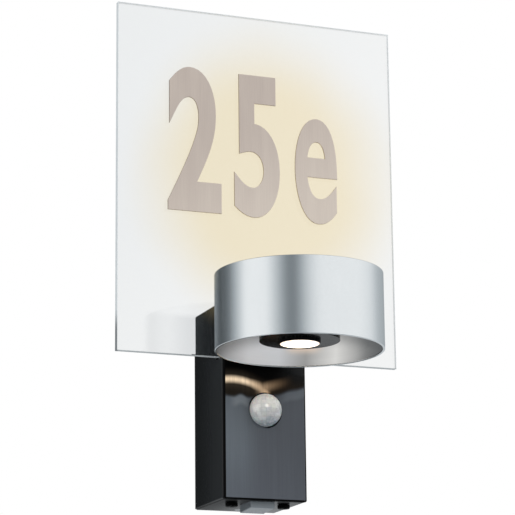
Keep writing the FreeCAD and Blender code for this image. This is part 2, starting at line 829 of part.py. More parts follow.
def head_ring():
    """Short open tube, the lamp head's visible shell."""
    body = new_body("head_ring")
    wall = new_sketch(body, "wall", "XZ_Plane")
    edge = dim.head_edge
    upper = [
        (dim.head_radius, head_half - edge),
        (dim.head_radius - edge, head_half),
        (head_inner_radius + edge, head_half),
        (head_inner_radius, head_half - edge),
    ]
    outline(wall, upper + [(x, -z) for x, z in reversed(upper)])
    revolve(body, "tube", wall)
    holes = new_sketch(body, "holes", "XZ_Plane")
    circle(holes, 0, 0, dim.neck_bore_radius)
    for side in BOTH_SIDES:
        circle(holes, 0, dim.neck_screw_offset * side, dim.neck_screw_radius + dim.fit_clearance)
    pocket(body, "neck_holes", holes, dim.head_radius + dim.cut_overrun, along=False)
    return place(body, 0, head_y, head_z)


def head_core():
    """Cast heat sink inside the ring: rim, web, ribs and the boss that both lamps sit on."""
    body = new_body("head_core")
    outer = head_inner_radius - dim.fit_clearance
    inner = outer - dim.core_rim_thickness
    half_web = dim.core_plate_thickness / 2
    half_rim = dim.core_rim_height / 2
    profile = new_sketch(body, "profile", "XZ_Plane")
    upper = [
        (outer, half_rim),
        (inner, half_rim),
        (inner, half_web),
        (dim.core_boss_radius, half_web),
        (dim.core_boss_radius, boss_half),
        (dim.core_bore_radius, boss_half),
    ]
    outline(profile, upper + [(x, -z) for x, z in reversed(upper)])
    revolve(body, "casting", profile)
    rib = new_sketch(body, "rib", "XY_Plane", -dim.core_rib_height / 2)
    half_rib = dim.core_rib_thickness / 2
    start = dim.core_boss_radius - half_rib
    rectangle(rib, start, inner + half_rib, -half_rib, half_rib)
    blade = pad(body, "rib_blade", rib, dim.core_rib_height)
    turn_pattern(body, "ribs", blade, RIB_COUNT)
    holes = new_sketch(body, "holes", "XZ_Plane")
    circle(holes, 0, 0, dim.neck_bore_radius)
    for side in BOTH_SIDES:
        circle(holes, 0, dim.neck_screw_offset * side, dim.neck_screw_radius + dim.fit_clearance)
    pocket(body, "cable_way", holes, outer + dim.cut_overrun, along=False)
    spots = new_sketch(body, "spots", "XZ_Plane", -inner)
    for side in BOTH_SIDES:
        spot_radius = dim.neck_screw_head_radius + dim.fit_clearance
        circle(spots, 0, dim.neck_screw_offset * side, spot_radius)
    pocket(body, "spot_faces", spots, dim.neck_screw_head_height)
    return place(body, 0, head_y, head_z)


def at_depth(side, depth):
    """Height in the head, at a depth from its lower (-1) or upper (1) rim."""
    return (head_half - depth) * side


def side_name(side):
    return "upper" if side > 0 else "lower"


def place_in_head(body):
    return place(body, 0, head_y, head_z)


def reflector(side):
    """Thin spun cone from the ring's rim down to the lamp's black face."""
    body = new_body(f"{side_name(side)}_reflector")
    profile = new_sketch(body, "profile", "XZ_Plane")
    sheet = dim.reflector_thickness
    outer = head_inner_radius - dim.fit_clearance
    inner = dim.holder_radius + dim.fit_clearance
    collar_end = dim.reflector_depth + dim.holder_collar_depth - dim.fit_clearance
    points = [
        (outer, at_depth(side, dim.rim_setback)),
        (outer, at_depth(side, dim.rim_setback + dim.reflector_lip)),
        (outer - sheet, at_depth(side, dim.rim_setback + dim.reflector_lip)),
        (outer - sheet, at_depth(side, dim.rim_setback + sheet)),
        (inner + sheet, at_depth(side, dim.reflector_depth + sheet)),
        (inner + sheet, at_depth(side, collar_end)),
        (inner, at_depth(side, collar_end)),
        (inner, at_depth(side, dim.reflector_depth)),
    ]
    outline(profile, points)
    revolve(body, "cone", profile)
    return place_in_head(body)


def lamp_holder(side):
    """Black face of the lamp, with a collar round the lens and a screwed flange behind."""
    body = new_body(f"{side_name(side)}_lamp_holder")
    profile = new_sketch(body, "profile", "XZ_Plane")
    face = holder_face_depth
    lens_hole = dim.lens_radius + dim.fit_clearance
    collar = lens_hole + dim.lens_collar_wall
    rim = face - dim.lens_drop
    seat = face + dim.lens_seat_depth
    flange = dim.reflector_depth + dim.holder_collar_depth
    back = holder_back_depth
    chamber = dim.board_thickness + dim.emitter_thickness
    points = [
        (lens_hole, at_depth(side, rim)),
        (collar, at_depth(side, rim)),
        (collar, at_depth(side, face)),
        (dim.holder_radius, at_depth(side, face)),
        (dim.holder_radius, at_depth(side, flange)),
        (dim.holder_flange_radius, at_depth(side, flange)),
        (dim.holder_flange_radius, at_depth(side, back)),
        (lens_hole, at_depth(side, back)),
        (dim.aperture_radius, at_depth(side, back - chamber / 2)),
        (lens_hole - dim.lens_rise, at_depth(side, seat)),
        (lens_hole, at_depth(side, seat)),
    ]
    outline(profile, points)
    revolve(body, "turned_face", profile)
    holes = new_sketch(body, "holes", "XY_Plane")
    offset = (dim.holder_radius + dim.holder_flange_radius) / 2
    for way in BOTH_SIDES:
        circle(holes, offset * way, 0, dim.small_screw_radius + dim.fit_clearance)
    pocket(body, "screw_holes", holes, dim.head_height, along=side > 0)
    return place_in_head(body)


def lens(side):
    """Frosted lens whose slightly domed face fills the collar of the black face."""
    body = new_body(f"{side_name(side)}_lens")
    profile = new_sketch(body, "profile", "XZ_Plane")
    radius = dim.lens_radius
    front = holder_face_depth - dim.lens_drop
    rise = dim.lens_rise
    back = holder_face_depth + dim.lens_seat_depth - dim.fit_clearance
    dome = (radius * radius + rise * rise) / (rise * 2)
    points = [
        (0, at_depth(side, back)),
        (radius, at_depth(side, back)),
        (radius, at_depth(side, front)),
        (0, at_depth(side, front - rise)),
    ]
    outline(profile, points, arcs={2: (dome, side > 0)})
    revolve(body, "domed_disc", profile)
    return place_in_head(body)


def led_boards():
    """Round metal-core boards on the core's boss, each with one round emitter."""
    emitters = []
    for side in BOTH_SIDES:
        way = UPRIGHT if side > 0 else DOWNWARD
        base = head_z + boss_half * side
        rod(f"{side_name(side)}_led_board", (0, head_y, base), dim.board_radius, dim.board_thickness, way)
        top = base + dim.board_thickness * side
        emitters.append(
            rod(f"emitter_{side + 1}", (0, head_y, top), dim.emitter_radius, dim.emitter_thickness, way)
        )
    return group("led_emitters", emitters)


def holder_screws():
    """Two screws on each side, hidden behind the reflectors, from the holders into the boss."""
    screws = []
    offset = (dim.holder_radius + dim.holder_flange_radius) / 2
    seat_depth = dim.reflector_depth + dim.holder_collar_depth
    for side in BOTH_SIDES:
        inward, outward = (DOWNWARD, UPRIGHT) if side > 0 else (UPRIGHT, DOWNWARD)
        for way in BOTH_SIDES:
            seat = (offset * way, head_y, head_z + at_depth(side, seat_depth))
            screws.append(
                screw(
                    f"holder_screw_{side + 1}_{way + 1}",
                    seat,
                    inward,
                    dim.small_screw_radius,
                    dim.holder_flange_thickness,
                    dim.small_screw_head_radius,
                    dim.small_screw_head_height,
                    outward,
                )
            )
    return group("holder_screws", screws)


def sensor_dome():
    """Milky half-round sensor lens with a flange behind the housing's front wall."""
    body = new_body("sensor_dome")
    profile = new_sketch(body, "profile", "XY_Plane")
    outer = dim.dome_radius
    inner = outer - dim.dome_wall
    flange = sensor_hole_radius + dim.dome_flange_width
    skirt = dome_flange_y - panel_front_y
    flange_top = skirt - dim.dome_flange_thickness
    points = [
        (0, -outer),
        (outer, 0),
        (outer, flange_top),
        (flange, flange_top),
        (flange, skirt),
        (inner, skirt),
        (inner, 0),
        (0, -inner),
    ]
    outline(profile, points, arcs={0: (outer, True), 6: (inner, False)})
    revolve(body, "half_globe", profile)
    return place(body, 0, panel_front_y, sensor_z)


def sensor_bezel():
    """Black trim ring between the dome and the panel."""
    body = new_body("sensor_bezel")
    profile = new_sketch(body, "profile", "XY_Plane")
    inner = dim.dome_radius + dim.fit_clearance
    outer = inner + dim.bezel_width
    outline(
        profile,
        [
            (inner, -dim.bezel_proud),
            (outer, -dim.bezel_proud / 2),
            (outer, front_wall_y - panel_front_y),
            (inner, front_wall_y - panel_front_y),
        ],
    )
    revolve(body, "ring", profile)
    return place(body, 0, panel_front_y, sensor_z)


def sensor_electronics():
    """Board behind the dome with its heat sensing element, and the two adjusters on the shelf."""
    board_low_z = adjuster_top_z + dim.sensor_board_gap
    low = (-dim.sensor_board_width / 2, board_front_y, board_low_z)
    size = (dim.sensor_board_width, dim.sensor_board_thickness, board_top_z - board_low_z)
    board = block("sensor_board", low, size)
    eye = rod("pir_element", (0, board_front_y, sensor_z), dim.pir_radius, dim.pir_height, TO_FRONT)

    adjusters = []
    bore = dim.dial_shaft_radius + dim.running_clearance
    for side in BOTH_SIDES:
        x = dim.dial_spacing / 2 * side
        half = dim.potentiometer_width / 2
        case_front_y = carrier_back_y + dim.fit_clearance
        low = (x - half, case_front_y, shelf_top_z)
        size = (dim.potentiometer_width, dial_y + half - case_front_y, dim.potentiometer_height)
        case = block(f"potentiometer_case_{side + 1}", low, size)
        start = (x, dial_y, shelf_top_z - dim.cut_overrun)
        through = dim.potentiometer_height + dim.cut_overrun * 2
        hole = rod(f"potentiometer_bore_{side + 1}", start, bore, through)
        adjusters.append(holed(f"potentiometer_{side + 1}", case, hole))
    return board, eye, group("potentiometers", adjusters)


def sensor_carrier():
    """Grey moulding that clasps the sensor board and holds the adjusters on a shelf."""
    body = new_body("sensor_carrier")
    half = dim.carrier_width / 2
    back = new_sketch(body, "back", "XZ_Plane", -carrier_back_y)
    rectangle(back, -half, half, shelf_low_z, carrier_top_z)
    pad(body, "plate", back, dim.carrier_plate_thickness)
    shelf = new_sketch(body, "shelf", "XY_Plane", shelf_low_z)
    shelf_back = dial_y + dim.potentiometer_width / 2 + dim.carrier_rim
    rectangle(shelf, -half, half, carrier_back_y, shelf_back)
    pad(body, "adjuster_shelf", shelf, dim.carrier_shelf_thickness)
    for side in BOTH_SIDES:
        rim = new_sketch(body, f"rim_{side + 1}", "XZ_Plane", -carrier_front_y)
        inner, outer = half - dim.carrier_rim, half
        low, high = (inner, outer) if side > 0 else (-outer, -inner)
        rectangle(rim, low, high, shelf_low_z, carrier_top_z)
        pad(body, f"side_rim_{side + 1}", rim, carrier_front_y - front_wall_y - dim.fit_clearance)
    holes = new_sketch(body, "shaft_holes", "XY_Plane", shelf_low_z)
    for side in BOTH_SIDES:
        circle(holes, dim.dial_spacing / 2 * side, dial_y, dim.dial_shaft_radius + dim.joint_clearance)
    pocket(body, "shaft_ways", holes, dim.carrier_shelf_thickness)
    window = new_sketch(body, "window", "XZ_Plane", -carrier_back_y)
    frame = dim.carrier_rim * WINDOW_FRAME_SHARE
    low_z, high_z = adjuster_top_z + frame, carrier_top_z - frame
    rectangle(window, frame - half, half - frame, low_z, high_z)
    pocket(body, "solder_window", window, dim.carrier_plate_thickness)
    return body


def sensor_foot():
    """Light grey lower end of the sensor insert, sloping below, with its stem through the housing."""
    body = new_body("sensor_foot")
    half = dim.foot_width / 2
    side_view = new_sketch(body, "side", "YZ_Plane", -half)
    outline(
        side_view,
        [
            (foot_front_y, -half_height),
            (foot_front_y, -half_height - dim.foot_front_height),
            (foot_back_y, -half_height - dim.foot_back_height),
            (foot_back_y, -half_height),
        ],
    )
    pad(body, "block", side_view, dim.foot_width)
    lower_half = -half_height - dim.foot_front_height / 2
    rim = edges_where(body, lambda p: p.z < number(lower_half))
    dress(body, "Chamfer", "lower_edges", rim, dim.foot_edge)
    stem = new_sketch(body, "stem", "XY_Plane", -half_height)
    inset = dim.foot_stem_inset
    rectangle(stem, inset - half, half - inset, foot_front_y + inset, foot_back_y - inset)
    rise = shelf_low_z - dim.fit_clearance + half_height
    pad(body, "stem_block", stem, rise)
    hollow = new_sketch(body, "hollow", "XY_Plane", lower_half)
    wall = inset * FOOT_WALL_SHARE
    rectangle(hollow, wall - half, half - wall, foot_front_y + wall, foot_back_y - wall)
    pocket(body, "hollow_cut", hollow, rise + dim.foot_front_height)
    return body


def dial(label, side):
    """Adjusting dial: slotted knob under the housing, its shaft and a clip above the wall."""
    x = dim.dial_spacing / 2 * side
    body = new_body(label)
    profile = new_sketch(body, "profile", "XZ_Plane")
    edge = dim.dial_chamfer
    outline(
        profile,
        [
            (0, -dim.dial_height),
            (dim.dial_radius - edge, -dim.dial_height),
            (dim.dial_radius, edge - dim.dial_height),
            (dim.dial_radius, 0),
            (dim.dial_shaft_radius, 0),
            (dim.dial_shaft_radius, dim.dial_shaft_length),
            (0, dim.dial_shaft_length),
        ],
    )
    revolve(body, "knob", profile)
    slot = new_sketch(body, "slot", "XY_Plane", -dim.dial_height)
    half = dim.dial_slot_width / 2
    reach = dim.dial_radius + dim.cut_overrun
    rectangle(slot, -half, half, -reach, reach)
    pocket(body, "driver_slot", slot, dim.dial_slot_depth)
    place(body, x, dial_y, dial_top_z)

    clip_z = dim.joint_clearance - inner_half_height
    disc = rod(f"{label}_clip_disc", (x, dial_y, clip_z), dim.dial_clip_radius, dim.dial_clip_thickness)
    start = (x, dial_y, clip_z - dim.cut_overrun)
    through = dim.dial_clip_thickness + dim.cut_overrun * 2
    hole = rod(f"{label}_clip_hole", start, dim.dial_shaft_radius + dim.running_clearance, through)
    return body, holed(f"{label}_clip", disc, hole)


def lock_screw():
    """Countersunk screw from below, through the housing into the wall plate's lower flange."""
    y = rim_back_y - dim.lock_screw_setback
    sink = dim.lock_screw_head_radius - dim.lock_screw_radius
    wide, narrow = dim.lock_screw_head_radius, dim.lock_screw_radius
    head = cone("lock_screw_head", (0, y, -half_height), wide, narrow, sink)
    shank = rod("lock_screw_shank", (0, y, -half_height), dim.lock_screw_radius, dim.lock_screw_length)
    return joined("lock_screw", head, shank)


def earth_screw():
    seat = (0, plate_front_y, dim.earth_screw_rise)
    return screw(
        "earth_screw",
        seat,
        TO_WALL,
        dim.earth_screw_radius,
        dim.wall_plate_thickness,
        dim.earth_screw_head_radius,
        dim.small_screw_head_height,
        TO_FRONT,
    )


def terminal_block():
    """Screw terminals on the wall plate, below the cable inlet."""
    top_z = -dim.terminal_drop + dim.terminal_height / 2
    low_z = top_z - dim.terminal_height
    front_y = plate_front_y - dim.terminal_depth
    low = (-dim.terminal_width / 2, front_y, low_z)
    case = block("terminal_case", low, (dim.terminal_width, dim.terminal_depth, dim.terminal_height))
    pitch = dim.terminal_width / TERMINAL_POLES
    wire_y = plate_front_y - dim.terminal_depth * TERMINAL_WIRE_SHARE
    screw_z = top_z - dim.terminal_height * TERMINAL_SCREW_SHARE
    screw_y = front_y + dim.terminal_depth * TERMINAL_SEAT_SHARE
    well_end_y = wire_y - dim.terminal_wire_radius
    radius = dim.terminal_screw_radius
    tools, screws = [], []
    for pole in range(TERMINAL_POLES):
        x = pitch * pole + pitch / 2 - dim.terminal_width / 2
        start = (x, wire_y, low_z - dim.cut_overrun)
        through = dim.terminal_height + dim.cut_overrun * 2
        tools.append(rod(f"wire_way_{pole}", start, dim.terminal_wire_radius, through))
        well = (x, front_y - dim.cut_overrun, screw_z)
        deep = well_end_y - front_y + dim.cut_overrun
        tools.append(rod(f"screw_well_{pole}", well, radius + dim.fit_clearance, deep, TO_WALL))
        seat = (x, screw_y, screw_z)
        screws.append(rod(f"terminal_screw_{pole}", seat, radius, well_end_y - screw_y, TO_WALL))
    return holed("terminal_block", case, *tools), group("terminal_screws", screws)


def led_driver():
    """Sealed driver on the back of the sensor's carrier, with two screwed lugs."""
    back_y = carrier_back_y + dim.fit_clearance
    top_z = carrier_top_z - dim.driver_lug
    half = dim.driver_width / 2
    body = new_body("led_driver")
    case = new_sketch(body, "case", "XZ_Plane", -back_y - dim.driver_depth)
    rectangle(case, -half, half, adjuster_top_z + dim.driver_gap, top_z)
    pad(body, "block", case, dim.driver_depth)
    far = edges_where(body, lambda p: near(p.y, back_y + dim.driver_depth))
    dress(body, "Chamfer", "edges", far, dim.driver_edge)
    lug = new_sketch(body, "lug", "XZ_Plane", -back_y - dim.carrier_rim)
    rectangle(lug, -half, half, top_z, top_z + dim.driver_lug)
    pad(body, "lug_plate", lug, dim.carrier_rim)
    holes = new_sketch(body, "holes", "XZ_Plane", -back_y - dim.carrier_rim)
    screws = []
    for side in BOTH_SIDES:
        x, z = (half - dim.driver_lug / 2) * side, top_z + dim.driver_lug / 2
        circle(holes, x, z, dim.small_screw_radius + dim.fit_clearance)
        screws.append(
            screw(
                f"driver_screw_{side + 1}",
                (x, back_y + dim.carrier_rim, z),
                TO_FRONT,
                dim.small_screw_radius,
                dim.carrier_rim,
                dim.small_screw_head_radius,
                dim.small_screw_head_height,
                TO_WALL,
            )
        )
    pocket(body, "screw_holes", holes, dim.carrier_rim)
    return body, group("driver_screws", screws)


def build_light():
    """Make every sub-part and return the names that are written out."""
    makers = [
        wall_plate,
        wall_gasket,
        cable_grommet,
        earth_screw,
        lock_screw,
        terminal_block,
        housing,
        front_panel,
        glass_plate,
        glass_rest_pads,
        glass_clamps,
        head_neck,
        neck_fixings,
        head_ring,
        head_core,
        led_boards,
        holder_screws,
        sensor_dome,
        sensor_bezel,
        sensor_electronics,
        sensor_carrier,
        sensor_foot,
        led_driver,
    ]
    for make in makers:
        make()
    for side in BOTH_SIDES:
        reflector(side)
        lamp_holder(side)
        lens(side)
    dial("time_dial", -1)
    dial("twilight_dial", 1)
    return SUBPARTS


SUBPARTS = [
    "wall_plate",
    "wall_gasket",
    "cable_grommet",
    "earth_screw",
    "lock_screw",
    "terminal_block",
    "terminal_screws",
    "housing",
    "front_panel",
    "glass_plate",
    "glass_rest_pads",
    "glass_clamp_pads",
    "glass_clamp_screws",
    "head_neck",
    "neck_seal",
    "neck_nut",
    "neck_screws",
    "head_ring",
    "head_core",
    "lower_reflector",
    "upper_reflector",
    "lower_lamp_holder",
    "upper_lamp_holder",
    "lower_lens",
    "upper_lens",
    "lower_led_board",
    "upper_led_board",
    "led_emitters",
    "holder_screws",
    "sensor_dome",
    "sensor_bezel",
    "sensor_board",
    "pir_element",
    "potentiometers",
    "sensor_carrier",
    "sensor_foot",
    "time_dial",
    "time_dial_clip",
    "twilight_dial",
    "twilight_dial_clip",
    "led_driver",
    "driver_screws",
]


def check_document():
    """Stop if a feature failed or a sub-part has no sound shape."""
    doc.recompute()
    for item in doc.Objects:
        if "Invalid" in item.State or "Error" in item.State:
            raise RuntimeError(f"{item.Label} did not build: {item.State}")
    for name in SUBPARTS:
        shape = doc.getObjectsByLabel(name)[0].Shape
        if shape.isNull() or not shape.isValid() or not shape.Solids:
            raise RuntimeError(f"{name} has no sound solid")


def write_subparts():
    os.makedirs("parts", exist_ok=True)
    for name in SUBPARTS:
        shape = doc.getObjectsByLabel(name)[0].Shape
        shape.exportStep(os.path.join("parts", f"{name}.step"))
        print(f"{name}: {len(shape.Solids)} solids, {shape.Volume:.1f} mm3")


build_light()
check_document()
write_subparts()
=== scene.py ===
import math

import bpy
from mathutils import Matrix, Vector


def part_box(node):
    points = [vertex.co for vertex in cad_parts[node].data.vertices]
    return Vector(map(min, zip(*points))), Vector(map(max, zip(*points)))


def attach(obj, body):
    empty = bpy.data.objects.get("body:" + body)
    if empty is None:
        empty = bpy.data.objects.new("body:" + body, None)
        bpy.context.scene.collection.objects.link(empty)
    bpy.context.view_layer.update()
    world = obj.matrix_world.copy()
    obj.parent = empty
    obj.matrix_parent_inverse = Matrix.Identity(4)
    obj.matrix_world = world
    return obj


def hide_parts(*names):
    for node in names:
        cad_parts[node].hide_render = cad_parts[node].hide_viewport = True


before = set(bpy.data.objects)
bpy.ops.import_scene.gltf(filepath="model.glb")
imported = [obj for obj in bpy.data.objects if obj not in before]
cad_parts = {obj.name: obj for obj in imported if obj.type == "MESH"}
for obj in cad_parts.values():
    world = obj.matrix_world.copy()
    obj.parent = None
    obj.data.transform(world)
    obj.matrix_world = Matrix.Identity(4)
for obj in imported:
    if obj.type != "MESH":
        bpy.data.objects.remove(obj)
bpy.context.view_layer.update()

MM = 0.001

# The camera, solved on the photograph from the pane's and the box's corners and the head's rims.
PHOTO_WIDTH = 515
CAMERA_PLACE = (-0.5563, -1.4581, -0.2800)
CAMERA_YAW = math.radians(21.518)
CAMERA_PITCH = math.radians(14.056)
CAMERA_ROLL = math.radians(-0.629)
FOCAL_PIXELS = 2318.5
SENSOR_WIDTH = 36.0
CLIP_NEAR = 0.05
CLIP_FAR = 60.0

# The finishes. A pair of places is where a soft step starts and where it ends, and a pair of
# colours is the darker and the lighter tone of a pattern.

# The powder coat, with painted shade: darker and duller on the sides towards the wall, and
# underneath from a share of the box's half width to its left end.
COAT_SHADED_AT_WALL = (0.0008, 0.0009, 0.0009, 1.0)
COAT_IN_FRONT = (0.0085, 0.0092, 0.0098, 1.0)
UNDERSIDE = 0.5 * MM
COAT_SHADE_END_START = 0.6
COAT_SHADE_END = 0.85
COAT_SHADE_SIDE = 0.55

# The brushed panel. Its places, and those of the shade and the light on it, are in millimetres.
# PANEL_EDGE is the width of a black margin painted round the face for the dark gap at its edge.
PANEL_EDGE = 1.1 * MM
# Painted light: the tones are lighter higher up (PANEL_LIGHTENS) and on the left, and PANEL_SHEEN
# is a painted highlight just below the head's shade.
PANEL_TONES = ((0.042, 0.048, 0.059, 1.0), (0.070, 0.079, 0.095, 1.0))
PANEL_LIT_LEFT_TONES = ((0.062, 0.074, 0.088, 1.0), (0.100, 0.117, 0.136, 1.0))
PANEL_SHEEN = (0.185, 0.207, 0.227, 1.0)
PANEL_LIGHTENS = (-55.0, -5.0)
PANEL_LEFT_HALF = (-3.0, -17.0)
PANEL_LEFT_FOOT = (-66.0, -30.0)
SHEEN_BELOW_SHADE = 3.5
SHEEN_BAND = (1.0, 5.0)
SHEEN_LEFT = -17.0
SHEEN_LEFT_BAND = (2.0, 9.0)
SHEEN_RIGHT = (8.0, 17.0)

# The head's shade at the panel's top. A notch in its end has a place, a half width and a height.
SHADE_LOWEST = 1.6
SHADE_CURVE = 0.0045
SHADE_MIDDLE = -16.0
SHADE_BLUR = 1.8
SHADE_NOTCHES = ((-17.0, 5.5, 1.9), (17.0, 7.5, 0.9))
SHADE_THINS = (4.0, 26.0)

# The lamplight on the panel: a band that hangs like a bow towards the sensor, a fainter one that
# rises from there to the right, a halo round them and a tail below.
LIGHT_TONES = ((0.86, 0.54, 0.30, 1.0), (0.92, 0.72, 0.50, 1.0))
BOW_CROWN = 12.96
BOW_CROWN_PLACE = -22.5
BOW_CURVE = 0.0127
BOW_HALF_WIDTH = 3.5
BOW_WIDER = 1.8
BOW_WIDENS = (-12.0, -1.0)
BOW_ENDS = (5.0, 0.0)
BOW_RIGHT_END = 22.0
BOW_FALL = 40.0
RISE_START = 8.6
RISE_SLOPE = 0.29
RISE_HALF_WIDTH = 4.8
RISE_BEGINS = (-8.0, 0.0)
RISE_STRENGTH = 0.86
HALO_REACH = 9.0
HALO_BELOW = (16.0, 8.0)
TAIL_HALF_WIDTH = 5.0
TAIL_BELOW = (9.0, 4.0)

# The pane: the lamp's light as a painted glow, a soft round patch on its back that fades over shares
# of its reach, and a painted reflection of the box low on the left.
HAZE_GLOW = (0.90, 0.69, 0.26, 1.0)
HAZE_MIDDLE = (8.0 * MM, 152.0 * MM)
HAZE_REACH = 105.0 * MM
HAZE_TALLER = 0.14
HAZE_FADE = (0.45, 1.05)
HAZE_STRENGTH = 0.47
# GLASS_TONES hold the glass's own cool tint, lightened as a painted reflection of its surroundings.
GLASS_TONES = ((0.832, 0.850, 0.857, 1.0), (0.888, 0.898, 0.898, 1.0))
GLASS_FOOT = (140.0 * MM, 40.0 * MM)
MIRRORED_BOX = (0.74, 0.755, 0.765, 1.0)
MIRRORED_TOP = (58.0 * MM, 53.0 * MM)
MIRRORED_LEFT = (-82.0 * MM, -76.0 * MM)
MIRRORED_DEEPENS = (-66.0 * MM, -50.0 * MM)

# The pane's ground edges, with the lamp's light painted on them and a painted dark foot on the left
# one, where the black box shows in it.
GROUND_EDGE = 0.15 * MM
GROUND_TONES = ((0.42, 0.45, 0.46, 1.0), (0.50, 0.53, 0.54, 1.0))
GROUND_DARK = (0.08, 0.09, 0.10, 1.0)
GROUND_LIGHT = (1.0, 1.02, 1.04, 1.0)
GROUND_FOOT = (42.0 * MM, 58.0 * MM)
LEFT_EDGE_DEPTH = 1.0 * MM
LIGHT_AT_FOOT = 0.06
LIGHT_ABOVE_FOOT = 0.14
LIGHT_ON_FAR_EDGES = 0.43

ALUMINIUM_TONES = ((0.765, 0.797, 0.812, 1.0), (0.845, 0.878, 0.894, 1.0))

# The lamplight on the reflector: two bright fans with a dip between them, by distance in
# millimetres to the right of the head's axis as the camera sees it.
REFLECTOR_LIGHT = (
    (-55, 0.14),
    (-33, 0.48),
    (-13, 0.51),
    (4.5, 0.245),
    (24, 0.57),
    (43, 0.11),
    (52, 0.0),
)
REFLECTOR_SPAN = 110.0 * MM
LEFT_FAN_WARMTH = -0.03
RIGHT_FAN_WARMTH = 0.04

# A warm patch between the fans, near the lens and behind it.
WARM_LIGHT = (0.74, 0.56, 0.42, 1.0)
WARM_PLACE = 3.0 * MM
WARM_BAND = (5.0 * MM, 15.0 * MM)
WARM_RADII = (41.0 * MM, 27.0 * MM)
WARM_BEHIND = (0.0, 16.0 * MM)

# The spun circles, and the shade on them: behind the ring's near rim and on their right side.
RINGS_SCALE = 900.0
RINGS_STRETCH = 0.02
RIM_SHADE = (0.0, 13.0 * MM)
RIM_SHADE_CLOSE = (0.0, 9.0 * MM)
RIGHT_SIDE = (22.0 * MM, 42.0 * MM)
RIGHT_END = (36.0 * MM, 46.0 * MM)

FOOT_TONES = ((0.145, 0.166, 0.184, 1.0), (0.200, 0.222, 0.238, 1.0))

# Painted light on the black trim ring, low on its left half.
TRIM_LIT = (0.095, 0.106, 0.120, 1.0)
TRIM_LIT_BLUR = 3.0 * MM
TRIM_LIT_HEIGHT = 6.0 * MM

# The sensor lens. The groove round a facet starts at a share of the facet's width from its middle. A
# glint has a place from the lens's middle in millimetres, a strength, and the distances at which it
# starts to fade and is gone.
DOME_RADIUS = 11.0 * MM
DOME_WALL = 1.0 * MM
DOME_FLANGE = 1.2 * MM
FACET_COLUMNS = 20
FACET_ROWS = 12
FACET_MARGIN = 0.16 * MM
FACET_SINK = 0.05 * MM
FACET_CUT = 0.01 * MM
FACET_WELD = 0.005 * MM
FACET_SMOOTHING = math.radians(8)
FACET_GROOVE = 0.42
# The dome's tones run lighter high up and on the left as painted light; DOME_GLOW is a painted glow
# of the lamp's light on its upper half.
DOME_TONES = ((0.28, 0.31, 0.34, 1.0), (0.80, 0.795, 0.78, 1.0))
DOME_GLOW = (0.165, 0.153, 0.133, 1.0)
DOME_GLOW_HEIGHTS = (0.05, 0.80)
DOME_GLINT = (0.42, 0.41, 0.38, 1.0)
DOME_GLINTS = (
    ((-3.0, -10.5, 1.4), 1.0, 0.4, 1.9),
    ((-9.0, -6.4, -0.1), 0.55, 0.6, 4.2),
)

# The lamp's lenses, lit from behind, with a dim rim that starts at a share of the radius.
LENS_PLASTIC = (0.85, 0.84, 0.80, 1.0)
LENS_LIGHT = ((1.0, 0.80, 0.56, 1.0), (1.0, 0.86, 0.64, 1.0))
LENS_RIM_LIGHT = (0.15, 0.105, 0.075, 1.0)
LENS_RIM_START = 0.72
LENS_STRENGTH = 6.0

# The characters: a piece's name, its character, how much bolder it is than the font, and its left
# and right and its low and high edges in millimetres.
HOUSE_NUMBER = (
    ("number_first", "2", 0.030, (-65.0, -27.0), (127.0, 228.0)),
    ("number_second", "5", 0.030, (-17.5, 15.5), (126.5, 227.0)),
    ("number_letter", "e", 0.016, (27.0, 58.0), (126.0, 200.5)),
)
NUMBER_TONES = ((0.50, 0.425, 0.385, 1.0), (0.76, 0.675, 0.595, 1.0))
NUMBER_LIGHTENS = (205.0 * MM, 105.0 * MM)
CHARACTER_SHEET = 1.0 * MM
CHARACTER_EDGE = 0.10 * MM
CHARACTER_STEPS = 10
CHARACTER_WELD = 0.01 * MM

# The screw under the box. A face of it counts as facing up or down past this share of upright.
FACING = 0.9
SHANK_RADIUS = 2.0 * MM
SHANK_TIP = 0.4 * MM
SCREW_SIDES = 32
SCREW_HEAD_EDGE = 0.25 * MM
SCREW_SMOOTHING = math.radians(30)
CROSS_REACH = 2.2 * MM
CROSS_HALF_WIDTH = 0.45 * MM
CROSS_DEPTH = 1.3 * MM
CROSS_TAPER = 0.4

FLOOR_HEIGHT = -0.32
FLOOR_REACH = 12.0
FLOOR_WHITE = 0.7

LAMP_AIM = (0.0, -0.08, 0.08)
LAMP_SIZE = 1.2
STUDIO_LAMPS = (
    ("key_softbox", (-1.3, -1.9, 1.5), 42.0),
    ("fill_softbox", (1.7, -1.5, 0.7), 18.0),
)

# How bright the room looks in metal, by azimuth from -180 to 180 degrees: a narrow box on the left,
# a wide one in front and to the right, and dark gaps between them.
ROOM_BY_AZIMUTH = (
    (-180, 0.24),
    (-160, 0.08),
    (-146, 0.10),
    (-132, 0.19),
    (-114, 0.58),
    (-100, 1.00),
    (-66, 1.00),
    (-52, 0.61),
    (-38, 0.24),
    (-28, 0.21),
    (-8, 0.77),
    (6, 0.97),
    (66, 0.97),
    (88, 0.86),
    (110, 0.53),
    (134, 0.44),
    (180, 0.24),
)
FULL_TURN = 360.0
ROOM_FILL = 0.45
ROOM_TINT = (0.86, 0.98, 1.06, 1.0)

# The lit sweep below the light, by direction: bright behind it and dim in front.
SWEEP_IN_FRONT = 0.10
SWEEP_BEHIND = 0.62
SWEEP_TURNS = (-0.55, 0.15)
SWEEP_ENDS = (-0.12, 0.04)


class Level:
    """A value carried by a node socket. Sums and products on it add Math nodes."""

    def __init__(self, nodes, socket):
        self.nodes = nodes
        self.socket = socket

    def __add__(self, other):
        return self.nodes.math("ADD", self, other)

    def __radd__(self, other):
        return self.nodes.math("ADD", other, self)

    def __sub__(self, other):
        return self.nodes.math("SUBTRACT", self, other)

    def __rsub__(self, other):
        return self.nodes.math("SUBTRACT", other, self)

    def __mul__(self, other):
        return self.nodes.math("MULTIPLY", self, other)

    def __rmul__(self, other):
        return self.nodes.math("MULTIPLY", other, self)

    def __truediv__(self, other):
        return self.nodes.math("DIVIDE", self, other)


